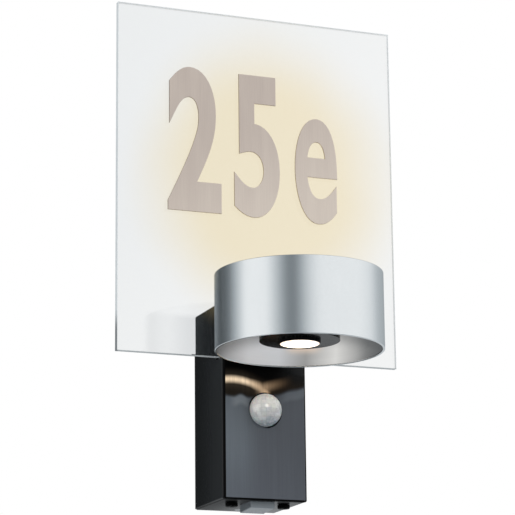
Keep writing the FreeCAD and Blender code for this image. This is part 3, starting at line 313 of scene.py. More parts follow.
class Nodes:
    """A node tree with one way to add any node, and short forms for the usual ones."""

    def __init__(self, tree):
        self.tree = tree
        self.tree.nodes.clear()

    def add(self, kind, settings=None, inputs=None, output=0):
        """Add a node: its settings, then a value or a link for each socket that is named."""
        made = self.tree.nodes.new(kind)
        for name, setting in (settings or {}).items():
            if name == "stops":
                self.fill_ramp(made.color_ramp, setting)
            else:
                setattr(made, name, setting)
        for name, value in (inputs or {}).items():
            if isinstance(value, Level):
                self.tree.links.new(value.socket, made.inputs[name])
            else:
                made.inputs[name].default_value = value
        return Level(self, made.outputs[output])

    def fill_ramp(self, ramp, stops):
        while len(ramp.elements) < len(stops):
            ramp.elements.new(1.0)
        for element, (position, colour) in zip(ramp.elements, stops):
            element.position = position
            element.color = colour

    def ramp(self, value, stops):
        return self.add("ShaderNodeValToRGB", {"stops": stops}, {0: value})

    def math(self, operation, first, second=0.0, clamp=False):
        settings = {"operation": operation, "use_clamp": clamp}
        return self.add("ShaderNodeMath", settings, {0: first, 1: second})

    def clamp(self, value):
        """Keep a value between zero and one."""
        return self.math("ADD", value, 0.0, clamp=True)

    def absolute(self, value):
        return self.math("ABSOLUTE", value)

    def larger(self, first, second):
        return self.math("MAXIMUM", first, second)

    def above(self, value, limit):
        """One where the value is above the limit, zero elsewhere."""
        return self.math("GREATER_THAN", value, limit)

    def below(self, value, limit):
        """One where the value is below the limit, zero elsewhere."""
        return self.math("LESS_THAN", value, limit)

    def length(self, first, second):
        """How far a place is from the middle, from its offsets along two axes."""
        return self.math("SQRT", first * first + second * second)

    def distance(self, first, second):
        settings = {"operation": "DISTANCE"}
        return self.add("ShaderNodeVectorMath", settings, {0: first, 1: second}, "Value")

    def soft_step(self, value, start, end):
        """Zero at the start and one at the end, with a soft climb between them."""
        settings = {"interpolation_type": "SMOOTHSTEP"}
        inputs = {"Value": value, "From Min": start, "From Max": end}
        return self.add("ShaderNodeMapRange", settings, inputs)

    def band(self, offset, full, gone):
        """One near an offset of zero, fading on both sides from the first reach to the second."""
        return 1.0 - self.soft_step(self.absolute(offset), full, gone)

    def between(self, value, low, high):
        """Lay a value that runs from zero to one evenly between two numbers."""
        inputs = {"Value": value, "To Min": low, "To Max": high}
        return self.add("ShaderNodeMapRange", inputs=inputs)

    def place(self):
        return self.add("ShaderNodeTexCoord", output="Object")

    def axes(self, vector):
        split = self.add("ShaderNodeSeparateXYZ", inputs={0: vector})
        outputs = split.socket.node.outputs
        return [Level(self, outputs[index]) for index in range(3)]

    def noise(self, scale, detail=2.0, stretch=(1.0, 1.0, 1.0), roughness=0.5):
        """Noise on the piece's own place, in cells per metre along an axis whose stretch is 1."""
        mapped = self.add("ShaderNodeMapping", inputs={"Vector": self.place(), "Scale": stretch})
        inputs = {"Vector": mapped, "Scale": scale, "Detail": detail, "Roughness": roughness}
        return self.add("ShaderNodeTexNoise", inputs=inputs)

    def mix(self, factor, first, second):
        """Mix two colours. The node has them in its sockets 6 and 7, and the mix in output 2."""
        inputs = {0: factor, 6: first, 7: second}
        return self.add("ShaderNodeMix", {"data_type": "RGBA"}, inputs, output=2)

    def mix_shader(self, factor, first, second):
        return self.add("ShaderNodeMixShader", inputs={0: factor, 1: first, 2: second})

    def bump(self, height, distance, strength):
        inputs = {"Height": height, "Distance": distance, "Strength": strength}
        return self.add("ShaderNodeBump", inputs=inputs)

    def principled(self, **inputs):
        """The usual shader, with its sockets named in words joined by underscores."""
        named = {name.replace("_", " "): value for name, value in inputs.items()}
        return self.add("ShaderNodeBsdfPrincipled", inputs=named)

    def surface(self, shader, kind="ShaderNodeOutputMaterial"):
        """Lead the finished shader to the tree's output."""
        out = self.tree.nodes.new(kind)
        self.tree.links.new(shader.socket, out.inputs["Surface"])


def new_finish(name):
    material = bpy.data.materials.new(name)
    material.use_nodes = True
    return material, Nodes(material.node_tree)


def grey(value):
    return (value, value, value, 1.0)


def tinted(value, warmth):
    return (value * (1.0 + warmth / 2), value, value * (1.0 - warmth), 1.0)


def plate_margin(nodes, name, margin):
    """One on the outer margin of an upright plate's face, zero inside it."""
    low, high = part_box(name)
    x, _, z = nodes.axes(nodes.place())
    from_side = nodes.absolute(x - (low.x + high.x) / 2)
    from_middle = nodes.absolute(z - (low.z + high.z) / 2)
    past_side = nodes.above(from_side, (high.x - low.x) / 2 - margin)
    past_top = nodes.above(from_middle, (high.z - low.z) / 2 - margin)
    return nodes.larger(past_side, past_top)


def matte_black_coat():
    """Fine orange-peel powder coat, darker and duller in painted shade at the wall and under one
    end.
    """
    material, nodes = new_finish("matte_black_coat")
    low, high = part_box("housing")
    x, y, z = nodes.axes(nodes.place())
    grain = nodes.noise(scale=1500.0, detail=3.0)
    cloud = nodes.noise(scale=45.0)
    # Painted shade: the base colour darkens towards the wall, mixed with a cloud of random tone.
    forward = cloud * 0.3 + nodes.soft_step(y, high.y, low.y) * 0.7
    underneath = nodes.below(z, low.z + UNDERSIDE)
    # Painted shade: a dark, dull coat underneath at the left end and on the faces towards the wall.
    shaded_end = underneath * nodes.soft_step(x, high.x * COAT_SHADE_END_START, low.x) * COAT_SHADE_END
    shaded_side = (1.0 - underneath) * nodes.soft_step(y, low.y, high.y) * COAT_SHADE_SIDE
    relief = nodes.bump(grain, distance=0.02 * MM, strength=0.35)
    coat = nodes.principled(
        Base_Color=nodes.mix(forward, COAT_SHADED_AT_WALL, COAT_IN_FRONT),
        Roughness=nodes.between(forward, 0.18, 0.36),
        Specular_IOR_Level=0.42,
        Normal=relief,
    )
    shaded_coat = nodes.principled(
        Base_Color=nodes.mix(cloud, grey(0.0020), grey(0.0035)),
        Roughness=0.5,
        Specular_IOR_Level=0.06,
        Normal=relief,
    )
    nodes.surface(nodes.mix_shader(nodes.larger(shaded_end, shaded_side), coat, shaded_coat))
    return material


def shade_end(nodes, across):
    """How high on the panel the head's shade ends: a shallow bowl with a notch on either side."""
    from_middle = across - SHADE_MIDDLE
    height = from_middle * from_middle * SHADE_CURVE + SHADE_LOWEST
    for place, half_width, notch in SHADE_NOTCHES:
        height = height + nodes.band(across - place, 0.0, half_width) * notch
    return height


def panel_metal(nodes, tone, across, upward, above_end):
    """The brushed metal's colour: painted lighter on the left, with a painted sheen just below the
    shade.
    """
    rising = 0.35 + 0.65 * nodes.soft_step(upward, *PANEL_LEFT_FOOT)
    left_half = nodes.soft_step(across, *PANEL_LEFT_HALF) * rising
    dark, light = nodes.mix(tone, *PANEL_TONES), nodes.mix(tone, *PANEL_LIT_LEFT_TONES)
    near_left = nodes.band(across - SHEEN_LEFT, *SHEEN_LEFT_BAND)
    sideways = near_left * 0.7 + nodes.soft_step(across, *SHEEN_RIGHT) * 0.32
    sheen = nodes.band(above_end + SHEEN_BELOW_SHADE, *SHEEN_BAND) * sideways
    return nodes.mix(sheen, nodes.mix(left_half, dark, light), PANEL_SHEEN)


def panel_light(nodes, lines, across, upward, shade):
    """How strongly the lamp lights the panel, and how that falls off towards the right."""
    from_crown = across - BOW_CROWN_PLACE
    off_bow = upward + from_crown * from_crown * BOW_CURVE - BOW_CROWN
    off_rise = upward - across * RISE_SLOPE - RISE_START
    to_end = nodes.clamp((BOW_RIGHT_END - across) / BOW_FALL)
    fall = nodes.clamp(to_end * to_end * 1.25)
    half_width = nodes.soft_step(across, *BOW_WIDENS) * BOW_WIDER + BOW_HALF_WIDTH
    falling = nodes.band(off_bow, 0.0, half_width) * nodes.soft_step(across, *BOW_ENDS)
    rising = nodes.band(off_rise, 0.0, RISE_HALF_WIDTH) * nodes.soft_step(across, *RISE_BEGINS)
    bow = nodes.larger(falling, rising * RISE_STRENGTH) * fall
    halo = nodes.band(off_bow, 0.0, HALO_REACH) * fall * 0.025
    halo = halo + nodes.soft_step(upward, *HALO_BELOW) * 0.011
    tail = nodes.band(across, 0.0, TAIL_HALF_WIDTH) * nodes.soft_step(upward, *TAIL_BELOW) * 0.3
    broad_streaks = nodes.noise(scale=700.0, detail=1.0, stretch=(1.0, 1.0, 0.02))
    streaks = broad_streaks * 0.6 + lines * 0.4
    return (bow * 0.90 + (tail + halo) * shade) * (0.55 + streaks * 0.9), fall


def brushed_panel():
    """Dark metal, brushed upright: a black edge, the head's shade and the lamp's bow of light, all
    painted.
    """
    material, nodes = new_finish("brushed_panel")
    lines = nodes.noise(scale=2600.0, detail=3.0, stretch=(1.0, 1.0, 0.012), roughness=0.6)
    broad = nodes.noise(scale=320.0, stretch=(1.0, 1.0, 0.03))
    # A black margin painted round the face, as shade for the dark gap at the panel's edge.
    edge = plate_margin(nodes, "front_panel", PANEL_EDGE)
    x, _, z = nodes.axes(nodes.place())
    across, upward = x / MM, z / MM
    above_end = upward - shade_end(nodes, across)
    shade = nodes.soft_step(above_end, -SHADE_BLUR, SHADE_BLUR)
    # The tone holds painted light: the panel gets lighter higher up.
    tone = lines * 0.6 + broad * 0.4 + nodes.soft_step(upward, *PANEL_LIGHTENS) * 0.25
    brushed = panel_metal(nodes, tone, across, upward, above_end)
    light, fall = panel_light(nodes, lines, across, upward, shade)
    glow = nodes.mix(light * (1.0 - edge), grey(0.0), nodes.mix(fall, *LIGHT_TONES))
    metal = nodes.principled(
        Base_Color=nodes.mix(shade, brushed, grey(0.003)),
        Roughness=nodes.between(tone, 0.10, 0.18),
        Specular_IOR_Level=0.36,
        Emission_Color=glow,
        Emission_Strength=1.0,
        Normal=nodes.bump(lines, distance=0.02 * MM, strength=0.6),
    )
    black = nodes.principled(
        Base_Color=nodes.mix(tone, grey(0.0006), grey(0.0014)),
        Roughness=0.5,
        Specular_IOR_Level=0.05,
        Emission_Color=glow,
        Emission_Strength=1.0,
    )
    left_shade = shade * (1.0 - nodes.soft_step(across, *SHADE_THINS) * 0.7)
    nodes.surface(nodes.mix_shader(nodes.larger(edge, left_shade), metal, black))
    return material


def clear_glass(nodes, x, z, patch, width):
    """Cool clear glass with painted reflections: lighter right and at the foot, darker low left for
    the box.
    """
    streak = nodes.noise(scale=30.0, detail=1.0)
    # Painted reflection: the glass tone runs lighter to the right and towards the foot.
    foot = nodes.soft_step(z, *GLASS_FOOT) * 0.4
    sideways = nodes.clamp(x / width + patch * 0.3 + foot + 0.35)
    mirrored = nodes.soft_step(z, *MIRRORED_TOP) * nodes.soft_step(x, *MIRRORED_LEFT)
    mirrored = mirrored * (nodes.soft_step(x, *MIRRORED_DEEPENS) * 0.65 + 0.35)
    mirrored = mirrored * nodes.below(x, 0.0)
    return nodes.principled(
        Base_Color=nodes.mix(mirrored, nodes.mix(sideways, *GLASS_TONES), MIRRORED_BOX),
        Roughness=nodes.between(streak, 0.0, 0.02),
        Transmission_Weight=1.0,
        IOR=1.50,
    )


def ground_edges(nodes, x, z, low, high):
    """The pane's ground edges: the top and the right one stand brightest in the lamp's light."""
    half = (high - low) / 2
    far_edges = nodes.above(x / half.x + (z - low.z - half.z) / half.z, 0.0)
    above_foot = nodes.soft_step(z, *GROUND_FOOT)
    near_light = above_foot * LIGHT_ABOVE_FOOT + LIGHT_AT_FOOT
    light = near_light + far_edges * (LIGHT_ON_FAR_EDGES - near_light)
    # Painted dark: the foot of the left edge, where the black box shows in it.
    dark_foot = (1.0 - above_foot) * nodes.below(x, low.x + LEFT_EDGE_DEPTH)
    pale = nodes.mix(nodes.noise(scale=220.0), *GROUND_TONES)
    return nodes.principled(
        Base_Color=nodes.mix(dark_foot * 0.8, pale, GROUND_DARK),
        Roughness=0.6,
        Emission_Color=nodes.mix(light, grey(0.0), GROUND_LIGHT),
        Emission_Strength=1.0,
        Normal=nodes.bump(nodes.noise(scale=1500.0), distance=0.02 * MM, strength=0.5),
    )


def pane_glass():
    """Clear glass with ground edges, and a warm glow painted on its back where the lamp lights it.
    """
    material, nodes = new_finish("pane_glass")
    low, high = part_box("glass_plate")
    x, y, z = nodes.axes(nodes.place())
    across = (x - HAZE_MIDDLE[0]) / HAZE_REACH
    upward = (z - HAZE_MIDDLE[1]) / HAZE_REACH
    upward = upward * (1.0 - nodes.above(upward, 0.0) * HAZE_TALLER)
    patch = nodes.noise(scale=14.0, detail=1.0)
    outward = nodes.length(across, upward) + (patch - 0.5) * 0.16
    fade = 1.0 - nodes.soft_step(outward, *HAZE_FADE)
    back = nodes.above(y, (low.y + high.y) / 2)
    glass = clear_glass(nodes, x, z, patch, high.x - low.x)
    haze_glow = nodes.add("ShaderNodeEmission", inputs={"Color": HAZE_GLOW, "Strength": 1.0})
    lit = nodes.mix_shader(fade * back * HAZE_STRENGTH, glass, haze_glow)
    edge = plate_margin(nodes, "glass_plate", GROUND_EDGE)
    nodes.surface(nodes.mix_shader(edge, lit, ground_edges(nodes, x, z, low, high)))
    return material


def satin_aluminium():
    """Blasted and anodised aluminium: even, with a very fine grain."""
    material, nodes = new_finish("satin_aluminium")
    grain = nodes.noise(scale=3800.0)
    cloud = nodes.noise(scale=60.0)
    speckle = nodes.noise(scale=1100.0, detail=3.0, roughness=0.7)
    tone = nodes.clamp(cloud * 0.35 + speckle * 1.5 - 0.42)
    shader = nodes.principled(
        Base_Color=nodes.mix(tone, *ALUMINIUM_TONES),
        Metallic=1.0,
        Roughness=nodes.between(grain, 0.18, 0.28),
        Normal=nodes.bump(grain, distance=0.006 * MM, strength=0.4),
    )
    nodes.surface(shader)
    return material


def lamp_fans(nodes, radius, inward, rightward):
    """The lamplight on the reflector: two fans, and a warm patch between them near the lens."""
    stops = []
    for right, tone in REFLECTOR_LIGHT:
        warmth = RIGHT_FAN_WARMTH if right > 0 else LEFT_FAN_WARMTH
        stops.append((right * MM / REFLECTOR_SPAN + 0.5, tinted(tone, warmth)))
    fans = nodes.ramp(rightward / REFLECTOR_SPAN + 0.5, stops)
    near_lens = nodes.soft_step(radius, *WARM_RADII) * nodes.soft_step(inward, *WARM_BEHIND)
    near_lens = near_lens * nodes.band(rightward - WARM_PLACE, *WARM_BAND)
    return nodes.mix(near_lens * 0.85, fans, WARM_LIGHT)


def past_near_rim(nodes, rightward, away, height, reach):
    """How far a place lies past the ring's near rim, as the camera sees it."""
    rim = nodes.math("SQRT", nodes.larger(reach * reach - rightward * rightward, 0.0))
    return (rim + away) * math.sin(CAMERA_PITCH) - height * math.cos(CAMERA_PITCH)


def spun_reflector():
    """Satin spun aluminium sheet with faint circles left by the tool, lit by the lamp."""
    material, nodes = new_finish("spun_reflector")
    low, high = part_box("head_ring")
    x, y, z = nodes.axes(nodes.place())
    inward = y - (low.y + high.y) / 2
    radius = nodes.length(x, inward)
    along = nodes.add("ShaderNodeCombineXYZ", inputs={"X": radius, "Z": z * RINGS_STRETCH})
    inputs = {"Vector": along, "Scale": RINGS_SCALE, "Detail": 2.0}
    rings = nodes.add("ShaderNodeTexNoise", inputs=inputs)
    cloud = nodes.noise(scale=90.0)
    rightward = x * math.cos(CAMERA_YAW) - inward * math.sin(CAMERA_YAW)
    away = x * math.sin(CAMERA_YAW) + inward * math.cos(CAMERA_YAW)
    past_rim = past_near_rim(nodes, rightward, away, z - low.z, (high.x - low.x) / 2)
    upper = nodes.above(z, (low.z + high.z) / 2)
    rim_light = nodes.larger(nodes.soft_step(past_rim, *RIM_SHADE) * 0.6 + 0.4, upper)
    beside_rim = 1.0 - nodes.soft_step(past_rim, *RIM_SHADE_CLOSE)
    beside_rim = beside_rim * nodes.soft_step(rightward, *RIGHT_SIDE)
    right_shade = beside_rim * 0.32 + nodes.soft_step(rightward, *RIGHT_END) * 0.2
    right_shade = right_shade * (1.0 - upper)
    light = (rim_light - rings * 0.08) * (1.0 - right_shade)
    fans = lamp_fans(nodes, radius, inward, rightward)
    sheet = nodes.mix(cloud, grey(0.235), grey(0.275))
    shader = nodes.principled(
        Base_Color=nodes.mix(right_shade, sheet, grey(0.0)),
        Metallic=1.0,
        Roughness=nodes.between(rings, 0.42, 0.56),
        Emission_Color=nodes.mix(light, grey(0.0), fans),
        Emission_Strength=1.0,
        Normal=nodes.bump(rings, distance=0.004 * MM, strength=0.3),
    )
    nodes.surface(shader)
    return material


def gloss_black():
    """Polished black face of the lamp, with faint wipe marks."""
    material, nodes = new_finish("gloss_black")
    wipe = nodes.noise(scale=120.0, detail=4.0, stretch=(1.0, 0.3, 1.0))
    shader = nodes.principled(
        Base_Color=nodes.mix(wipe, grey(0.0040), grey(0.0080)),
        Roughness=nodes.between(wipe, 0.08, 0.20),
        Specular_IOR_Level=0.05,
        Normal=nodes.bump(wipe, distance=0.01 * MM, strength=0.2),
    )
    nodes.surface(shader)
    return material


def plastic(name, dark, light, roughness, grain_scale=900.0, shine=0.5):
    """Moulded plastic: two close tones and a fine spark-eroded grain."""
    material, nodes = new_finish(name)
    grain = nodes.noise(scale=grain_scale, detail=3.0)
    cloud = nodes.noise(scale=55.0)
    shader = nodes.principled(
        Base_Color=nodes.mix(cloud, dark, light),
        Roughness=nodes.between(grain, roughness - 0.06, roughness + 0.06),
        Specular_IOR_Level=shine,
        Normal=nodes.bump(grain, distance=0.02 * MM, strength=0.5),
    )
    nodes.surface(shader)
    return material


def frosted_grey():
    """Cool grey plastic with a soft gloss."""
    material, nodes = new_finish("frosted_grey")
    grain = nodes.noise(scale=1100.0)
    cloud = nodes.noise(scale=70.0)
    shader = nodes.principled(
        Base_Color=nodes.mix(cloud, *FOOT_TONES),
        Roughness=nodes.between(grain, 0.20, 0.30),
        Normal=nodes.bump(grain, distance=0.01 * MM, strength=0.3),
    )
    nodes.surface(shader)
    return material


def sensor_trim():
    """Black moulded ring round the lens; painted light greys it like the panel low on its left half.
    """
    material, nodes = new_finish("sensor_trim")
    low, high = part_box("sensor_bezel")
    middle = (low + high) / 2
    x, _, z = nodes.axes(nodes.place())
    grain = nodes.noise(scale=900.0, detail=3.0)
    leftward = nodes.soft_step(x, middle.x + TRIM_LIT_BLUR, middle.x - TRIM_LIT_BLUR)
    downward = nodes.soft_step(z, middle.z + TRIM_LIT_HEIGHT, middle.z)
    shader = nodes.principled(
        Base_Color=nodes.mix(leftward * downward, grey(0.0012), TRIM_LIT),
        Roughness=nodes.between(grain, 0.5, 0.6),
        Specular_IOR_Level=0.1,
        Normal=nodes.bump(grain, distance=0.02 * MM, strength=0.5),
    )
    nodes.surface(shader)
    return material


def milky_dome(middle):
    """Milky sensor lens: a soft gloss, facets that differ a little in tone, and painted light and
    glints.
    """
    material, nodes = new_finish("milky_dome")
    x, y, z = nodes.axes(nodes.place())
    turn = nodes.math("ARCTAN2", x - middle.x, middle.y - y)
    column = turn * (FACET_COLUMNS / (2.0 * math.pi))
    row = nodes.math("ARCSINE", (z - middle.z) / DOME_RADIUS) * (FACET_ROWS / math.pi)
    corner = {"X": nodes.math("FLOOR", column), "Y": nodes.math("FLOOR", row)}
    facet = nodes.add("ShaderNodeCombineXYZ", inputs=corner)
    chance = nodes.add("ShaderNodeTexWhiteNoise", inputs={"Vector": facet}, output="Value")
    aside = nodes.absolute(nodes.math("FRACT", column) - 0.5)
    above = nodes.absolute(nodes.math("FRACT", row) - 0.5)
    groove = nodes.above(nodes.larger(aside, above), FACET_GROOVE)
    cloud = nodes.noise(scale=420.0, detail=3.0)
    height = (z - middle.z) / (2.0 * DOME_RADIUS) + 0.5
    leftward = (middle.x - x) / (2.0 * DOME_RADIUS)
    # Painted light: the tone climbs towards the top and the left.
    tone = height * 0.90 + leftward * 0.6 + chance * 0.30 + cloud * 0.20 - groove * 0.11 - 0.12
    glint = 0.0
    for place, strength, start, end in DOME_GLINTS:
        from_glint = nodes.distance(nodes.place(), middle + Vector(place) * MM)
        glint = (1.0 - nodes.soft_step(from_glint, start * MM, end * MM)) * strength + glint
    glow = nodes.mix(nodes.soft_step(height, *DOME_GLOW_HEIGHTS), grey(0.0), DOME_GLOW)
    shader = nodes.principled(
        Base_Color=nodes.mix(nodes.clamp(tone), *DOME_TONES),
        Roughness=nodes.between(cloud, 0.20, 0.34),
        Subsurface_Weight=0.3,
        Subsurface_Scale=2.0 * MM,
        Emission_Color=nodes.mix(glint, glow, DOME_GLINT),
        Emission_Strength=1.0,
        Normal=nodes.bump(cloud, distance=0.05 * MM, strength=0.3),
    )
    nodes.surface(shader)
    return material


def lit_lens():
    """Frosted lens of the lamp, lit from behind and dimmer towards its rim."""
    material, nodes = new_finish("lit_lens")
    low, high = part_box("lower_lens")
    middle = (low + high) / 2
    frost = nodes.noise(scale=1600.0)
    x, y, _ = nodes.axes(nodes.place())
    radius = nodes.length(x - middle.x, y - middle.y)
    reach = high.x - middle.x
    rim = nodes.soft_step(radius, reach * LENS_RIM_START, reach)
    shader = nodes.principled(
        Base_Color=LENS_PLASTIC,
        Roughness=nodes.between(frost, 0.25, 0.4),
        Emission_Color=nodes.mix(rim, nodes.mix(frost, *LENS_LIGHT), LENS_RIM_LIGHT),
        Emission_Strength=LENS_STRENGTH,
        Normal=nodes.bump(frost, distance=0.02 * MM, strength=0.3),
    )
    nodes.surface(shader)
    return material


def bare_metal(name, dark, light, roughness, scale=700.0):
    """Uncoated metal: two tones, a fine grain, and worn gloss."""
    material, nodes = new_finish(name)
    grain = nodes.noise(scale=scale, detail=3.0, roughness=0.6)
    cloud = nodes.noise(scale=80.0)
    shader = nodes.principled(
        Base_Color=nodes.mix(nodes.clamp(grain * 0.6 + cloud * 0.4), dark, light),
        Metallic=1.0,
        Roughness=nodes.between(grain, roughness - 0.06, roughness + 0.06),
        Normal=nodes.bump(grain, distance=0.015 * MM, strength=0.35),
    )
    nodes.surface(shader)
    return material


def zinc_steel():
    return bare_metal("zinc_steel", (0.46, 0.47, 0.48, 1.0), (0.62, 0.63, 0.64, 1.0), 0.34)


def give_finishes():
    """Every CAD node's finish, by node. A plastic or metal has two tones and a roughness."""
    coat = matte_black_coat()
    panel = brushed_panel()
    glass = pane_glass()
    aluminium = satin_aluminium()
    reflector = spun_reflector()
    gloss = gloss_black()
    black = plastic("black_plastic", grey(0.0006), grey(0.0018), 0.6, shine=0.08)
    rubber = plastic("rubber", grey(0.014), grey(0.022), 0.75, grain_scale=1400.0)
    grey_foot = frosted_grey()
    terminal = plastic("terminal_grey", (0.30, 0.31, 0.33, 1.0), (0.36, 0.37, 0.39, 1.0), 0.5)
    carrier = plastic("carrier_grey", (0.33, 0.34, 0.36, 1.0), (0.40, 0.41, 0.43, 1.0), 0.5)
    silicone = plastic("clear_silicone", (0.60, 0.61, 0.61, 1.0), (0.68, 0.69, 0.69, 1.0), 0.4)
    board = plastic("green_board", (0.010, 0.085, 0.035, 1.0), (0.014, 0.110, 0.050, 1.0), 0.35)
    white_board = plastic("white_board", (0.70, 0.71, 0.69, 1.0), (0.78, 0.79, 0.77, 1.0), 0.35)
    phosphor = plastic("phosphor", (0.80, 0.62, 0.12, 1.0), (0.86, 0.70, 0.20, 1.0), 0.6)
    driver_case = plastic("driver_case", (0.66, 0.66, 0.63, 1.0), (0.72, 0.72, 0.69, 1.0), 0.5)
    zinc = zinc_steel()
    cast = bare_metal("cast_aluminium", grey(0.42), grey(0.52), 0.5, scale=1100.0)
    brass = bare_metal("brass", (0.60, 0.42, 0.16, 1.0), (0.74, 0.55, 0.24, 1.0), 0.3)
    dome = plastic("milky_plastic", (0.52, 0.53, 0.54, 1.0), (0.62, 0.62, 0.61, 1.0), 0.28)
    lens = lit_lens()
    finishes = {
        "wall_plate": zinc,
        "wall_gasket": rubber,
        "cable_grommet": rubber,
        "earth_screw": brass,
        "lock_screw": zinc,
        "terminal_block": terminal,
        "terminal_screws": zinc,
        "housing": coat,
        "front_panel": panel,
        "glass_plate": glass,
        "glass_rest_pads": silicone,
        "glass_clamp_pads": silicone,
        "glass_clamp_screws": zinc,
        "head_neck": coat,
        "neck_seal": rubber,
        "neck_nut": brass,
        "neck_screws": zinc,
        "head_ring": aluminium,
        "head_core": cast,
        "lower_reflector": reflector,
        "upper_reflector": reflector,
        "lower_lamp_holder": gloss,
        "upper_lamp_holder": gloss,
        "lower_lens": lens,
        "upper_lens": lens,
        "lower_led_board": white_board,
        "upper_led_board": white_board,
        "led_emitters": phosphor,
        "holder_screws": zinc,
        "sensor_dome": dome,
        "sensor_bezel": sensor_trim(),
        "sensor_board": board,
        "pir_element": zinc,
        "potentiometers": black,
        "sensor_carrier": carrier,
        "sensor_foot": grey_foot,
        "time_dial": black,
        "time_dial_clip": zinc,
        "twilight_dial": black,
        "twilight_dial_clip": zinc,
        "led_driver": driver_case,
        "driver_screws": zinc,
    }
    for name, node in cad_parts.items():
        for material_slot in node.material_slots:
            material_slot.material = finishes[name]


def number_metal():
    """The characters' brushed stainless sheet: upright lines, slightly warm, lighter by the lamp."""
    material, nodes = new_finish("number_metal")
    lines = nodes.noise(scale=2200.0, detail=3.0, stretch=(1.0, 1.0, 0.02), roughness=0.6)
    broad = nodes.noise(scale=150.0, detail=1.0, stretch=(1.0, 1.0, 0.15))
    x, _, z = nodes.axes(nodes.place())
    near_lamp = nodes.soft_step(z - x * 0.5, *NUMBER_LIGHTENS)
    tone = nodes.clamp(lines * 0.5 + broad * 0.3 + near_lamp * 0.5)
    shader = nodes.principled(
        Base_Color=nodes.mix(tone, *NUMBER_TONES),
        Metallic=1.0,
        Roughness=nodes.between(lines, 0.30, 0.42),
        Normal=nodes.bump(lines, distance=0.015 * MM, strength=0.35),
    )
    nodes.surface(shader)
    return material


def number_character(name, glyph, weight, sides, heights, metal):
    """One character cut from sheet metal with eased edges, stuck on the pane's front face."""
    left, right = (edge * MM for edge in sides)
    low, high = (edge * MM for edge in heights)
    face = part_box("glass_plate")[0].y
    bpy.ops.object.select_all(action="DESELECT")
    bpy.ops.object.text_add()
    piece = bpy.context.object
    piece.name = name
    piece.data.body = glyph
    piece.data.offset = weight
    piece.data.resolution_u = CHARACTER_STEPS
    bpy.context.view_layer.update()
    glyph_low = Vector([min(places) for places in zip(*piece.bound_box)])
    glyph_high = Vector([max(places) for places in zip(*piece.bound_box)])
    wide = (right - left) / (glyph_high.x - glyph_low.x)
    tall = (high - low) / (glyph_high.y - glyph_low.y)
    piece.data.bevel_depth = CHARACTER_EDGE / wide
    piece.data.bevel_resolution = 1
    piece.data.extrude = (CHARACTER_SHEET / 2 - CHARACTER_EDGE) / wide
    bpy.ops.object.convert(target="MESH")
    piece = bpy.context.object
    piece.rotation_euler = (math.radians(90), 0, 0)
    piece.scale = (wide, tall, wide)
    foot = low - glyph_low.y * tall
    piece.location = (left - glyph_low.x * wide, face - CHARACTER_SHEET / 2, foot)
    bpy.ops.object.transform_apply(location=True, rotation=True, scale=True)
    bpy.ops.object.mode_set(mode="EDIT")
    bpy.ops.mesh.select_all(action="SELECT")
    bpy.ops.mesh.remove_doubles(threshold=CHARACTER_WELD)
    bpy.ops.mesh.normals_make_consistent(inside=False)
    bpy.ops.object.mode_set(mode="OBJECT")
    bpy.ops.object.shade_flat()
    piece.data.materials.clear()
    piece.data.materials.append(metal)
    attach(piece, "light")


def house_number():
    metal = number_metal()
    for character in HOUSE_NUMBER:
        number_character(*character, metal)


def sensor_lens():
    """The milky half globe, with small flat facets, a short wall and a flange behind the panel."""
    low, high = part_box("sensor_dome")
    middle = Vector(((low.x + high.x) / 2, low.y + DOME_RADIUS, (low.z + high.z) / 2))
    flange_radius = (high.x - low.x) / 2
    flange_front = high.y - DOME_FLANGE
    bpy.ops.object.select_all(action="DESELECT")
    bpy.ops.mesh.primitive_uv_sphere_add(
        segments=FACET_COLUMNS,
        ring_count=FACET_ROWS,
        radius=DOME_RADIUS,
        location=middle,
    )
    piece = bpy.context.object
    piece.name = "sensor_lens"
    bpy.ops.object.transform_apply(location=True, rotation=True, scale=True)
    bpy.ops.object.mode_set(mode="EDIT")
    bpy.ops.mesh.select_all(action="SELECT")
    bpy.ops.mesh.inset(thickness=FACET_MARGIN, depth=-FACET_SINK, use_individual=True)
    bpy.ops.mesh.select_all(action="SELECT")
    bpy.ops.mesh.bisect(plane_co=middle, plane_no=(0, 1, 0), clear_outer=True, threshold=FACET_CUT)
    bpy.ops.mesh.select_all(action="DESELECT")
    bpy.ops.mesh.select_non_manifold(extend=False)
    wall = flange_front - middle.y
    bpy.ops.mesh.extrude_region_move(TRANSFORM_OT_translate={"value": (0, wall, 0)})
    bpy.ops.mesh.extrude_region_move(TRANSFORM_OT_translate={"value": (0, 0, 0)})
    wider = flange_radius / DOME_RADIUS
    centre = (middle.x, flange_front, middle.z)
    bpy.ops.transform.resize(value=(wider, 1.0, wider), center_override=centre)
    bpy.ops.mesh.extrude_region_move(TRANSFORM_OT_translate={"value": (0, DOME_FLANGE, 0)})
    bpy.ops.mesh.select_all(action="SELECT")
    bpy.ops.mesh.remove_doubles(threshold=FACET_WELD)
    bpy.ops.mesh.normals_make_consistent(inside=False)
    bpy.ops.object.mode_set(mode="OBJECT")
    sheet = piece.modifiers.new("sheet", "SOLIDIFY")
    sheet.thickness = DOME_WALL
    sheet.offset = -1.0
    bpy.ops.object.modifier_apply(modifier="sheet")
    bpy.ops.object.shade_smooth_by_angle(angle=FACET_SMOOTHING)
    piece.data.materials.append(milky_dome(middle))
    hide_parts("sensor_dome")
    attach(piece, "light")


def select_faces(piece, wanted):
    """In edit mode, select the faces whose middle and normal the test wants."""
    bpy.ops.mesh.select_mode(type="FACE")
    bpy.ops.mesh.select_all(action="DESELECT")
    bpy.ops.object.mode_set(mode="OBJECT")
    for face in piece.data.polygons:
        face.select = wanted(face.center, face.normal)
    bpy.ops.object.mode_set(mode="EDIT")


def faces_up(centre, normal):
    return normal.z > FACING


def faces_down(centre, normal):
    return normal.z < -FACING


